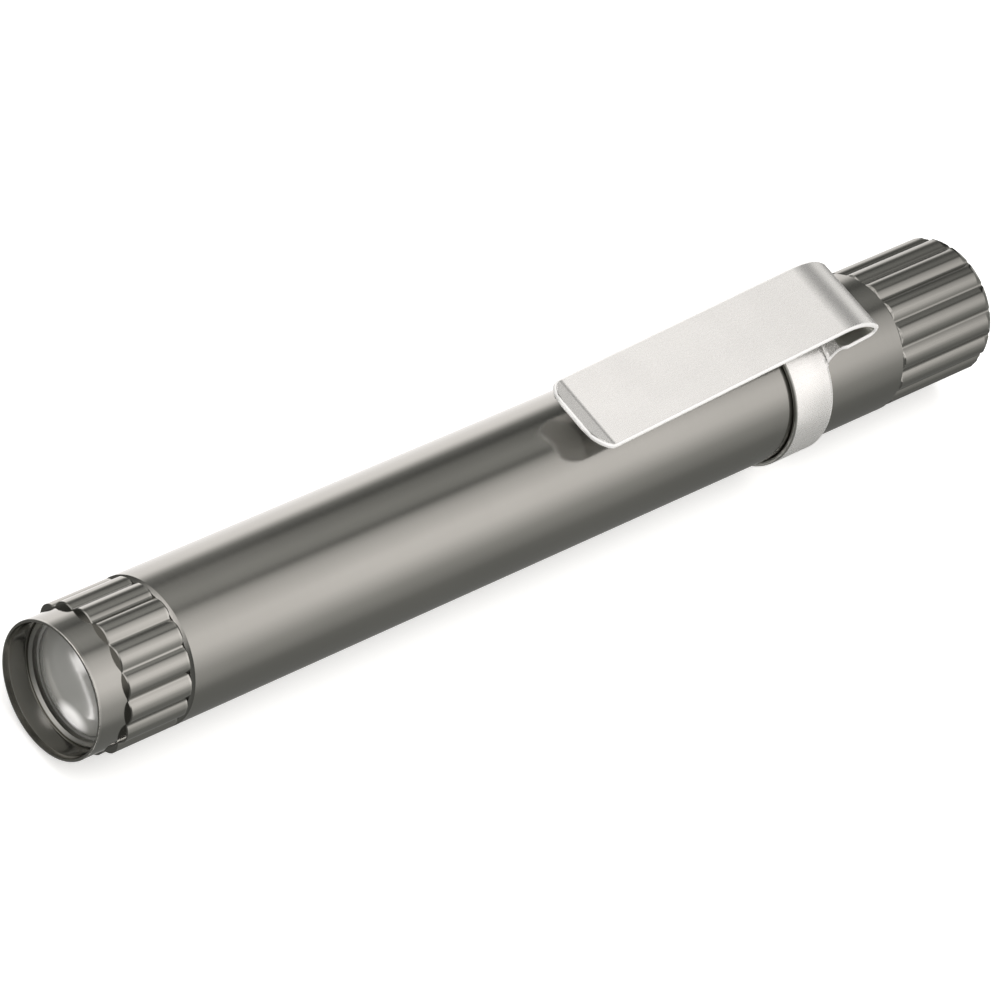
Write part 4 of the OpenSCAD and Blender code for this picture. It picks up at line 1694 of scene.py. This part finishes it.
    def floor(self) -> None:
        """Makes the floor, which the torch lies on and doesn't mirror."""
        bpy.ops.object.select_all(action="DESELECT")
        bpy.ops.mesh.primitive_plane_add(size=2 * self.floor_half, location=(0, 0, CAD_BOX[0].z))
        floor = bpy.context.object
        floor.name = "floor"
        floor.visible_glossy = False
        paint = Paint("pale_floor")
        shade = paint.clouded(paint.noise(self.floor_cloud), self.floor_colour, self.floor_tone)
        paint.set(Base_Color=shade, Roughness=self.floor_roughness, Specular_IOR_Level=self.floor_gloss)
        paint.set(Emission_Color=self.floor_colour, Emission_Strength=self.floor_glow)
        dress(floor, paint.material)

    def top_light(self, scene: bpy.types.Scene) -> None:
        """Makes the soft light overhead, which isn't seen in the metal.

        Args:
            scene: The scene that gets the light.
        """
        data = bpy.data.lights.new("top_light", "AREA")
        data.size = self.top_size
        data.energy = self.top_power
        light = bpy.data.objects.new("top_light", data)
        light.location = self.top_place
        light.visible_glossy = False
        scene.collection.objects.link(light)


def dress_inside() -> None:
    """Gives the pieces inside the torch their finishes, and gives the switch's spring a mesh of its own."""
    finishes = (
        (TurnedMetal("cell_wrap", (0.16, 0.3, 0.48), 0.4), ["front_cell", "rear_cell"]),
        (TurnedMetal("cell_tip", (0.7, 0.7, 0.68), 0.25), ["front_cell_terminal", "rear_cell_terminal"]),
        (TurnedMetal("reflector_bright", (0.85, 0.85, 0.84), 0.12), ["reflector"]),
        (Moulded("emitter_lens", (0.93, 0.9, 0.75), 0.15), ["emitter_dome"]),
        (Moulded("emitter_phosphor", (0.9, 0.8, 0.25), 0.4), ["emitter"]),
        (Moulded("board_white", (0.88, 0.88, 0.86), 0.4), ["emitter_board"]),
        (Moulded("board_green", (0.05, 0.22, 0.1), 0.35), ["driver_board"]),
        (Moulded("chip_black", (0.03, 0.03, 0.03), 0.5), ["driver_parts"]),
        (TurnedMetal("brass", (0.72, 0.55, 0.25)), ["heat_sink_pill", "front_contact", "switch_contact"]),
        (Moulded("fibre", (0.6, 0.42, 0.25), 0.7), ["insulator_ring"]),
        (Moulded("joint_rubber", (0.02, 0.02, 0.02)), ["head_seal", "tail_seal"]),
        (TurnedMetal("spring_steel", (0.7, 0.69, 0.66), 0.3), ["tail_spring", "switch_spring"]),
        (TurnedMetal("retainer_metal", (0.5, 0.49, 0.47), 0.3), ["switch_retainer"]),
        (Moulded("switch_plastic", (0.04, 0.04, 0.045)), ["switch_housing"]),
        (Moulded("plunger_plastic", (0.82, 0.8, 0.74)), ["switch_plunger"]),
    )
    for finish, nodes in finishes:
        material = finish.make()
        for node in nodes:
            dress(frame["nodes"][node], material)
            log.info("%s: %s", node, finish.name)
    rest, floor = rear_of("switch_spring"), front_of("switch_spring")
    anchor = to_frame(floor, 0.0, 0.0)
    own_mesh(frame["nodes"]["switch_spring"])


def main() -> None:
    """Builds the camera, the studio and the torch."""
    logging.basicConfig(level=logging.INFO, format="%(name)s %(message)s")
    Camera().build()
    Studio().build()
    head, barrel, tail, clip = Head(), Barrel(), TailCap(), PocketClip()
    ring = TurnedMetal("lens_ring_metal", (0.48, 0.475, 0.45), 0.3)
    head.build(
        AnodisedMetal(
            "head_metal",
            edges=(0.0, head.head_joint - head.gap),
            roughness=0.12,
            # Painted light: the rim's face, the recess and the bore are painted lighter
            painted_shading_fade=(head.recess_r, head.nose_r),
            painted_shading_share=1.3,
        ).make(),
        ring.make(),
        # The seal's mid grey, paler than black rubber, is painted light that lifts it out of its shaded
        # groove
        Moulded("lens_rubber", (0.28, 0.28, 0.265), 0.5).make(),
        LensGlass("lens_glass").make(),
    )
    barrel.build(AnodisedMetal("barrel_metal", edges=(barrel.head_joint, barrel.tail_joint)).make())
    tail.build(
        AnodisedMetal(
            "tail_metal",
            edges=(tail.tail_joint + tail.gap, tail.end),
            roughness=0.17,
            # Painted shade: the flute valleys, the end face and the bores are painted darker
            painted_shading_fade=(tail.spigot_r, tail.end_r),
            painted_shading_share=0.5,
        ).make(),
        Moulded("button_rubber", (0.03, 0.03, 0.032), 0.6).make(),
    )
    clip.build(
        # The clip's paler and darker copies of its steel are painted light and painted shade
        SatinSteel("clip_steel").make(),
        SatinSteel("clip_painted_light", (0.97, 0.962, 0.95), 0.4, 0.25).make(),
        SatinSteel("clip_painted_shade", (0.5, 0.5, 0.47), 0.4, 1.0).make(),
    )
    dress_inside()


if __name__ == "__main__":
    main()
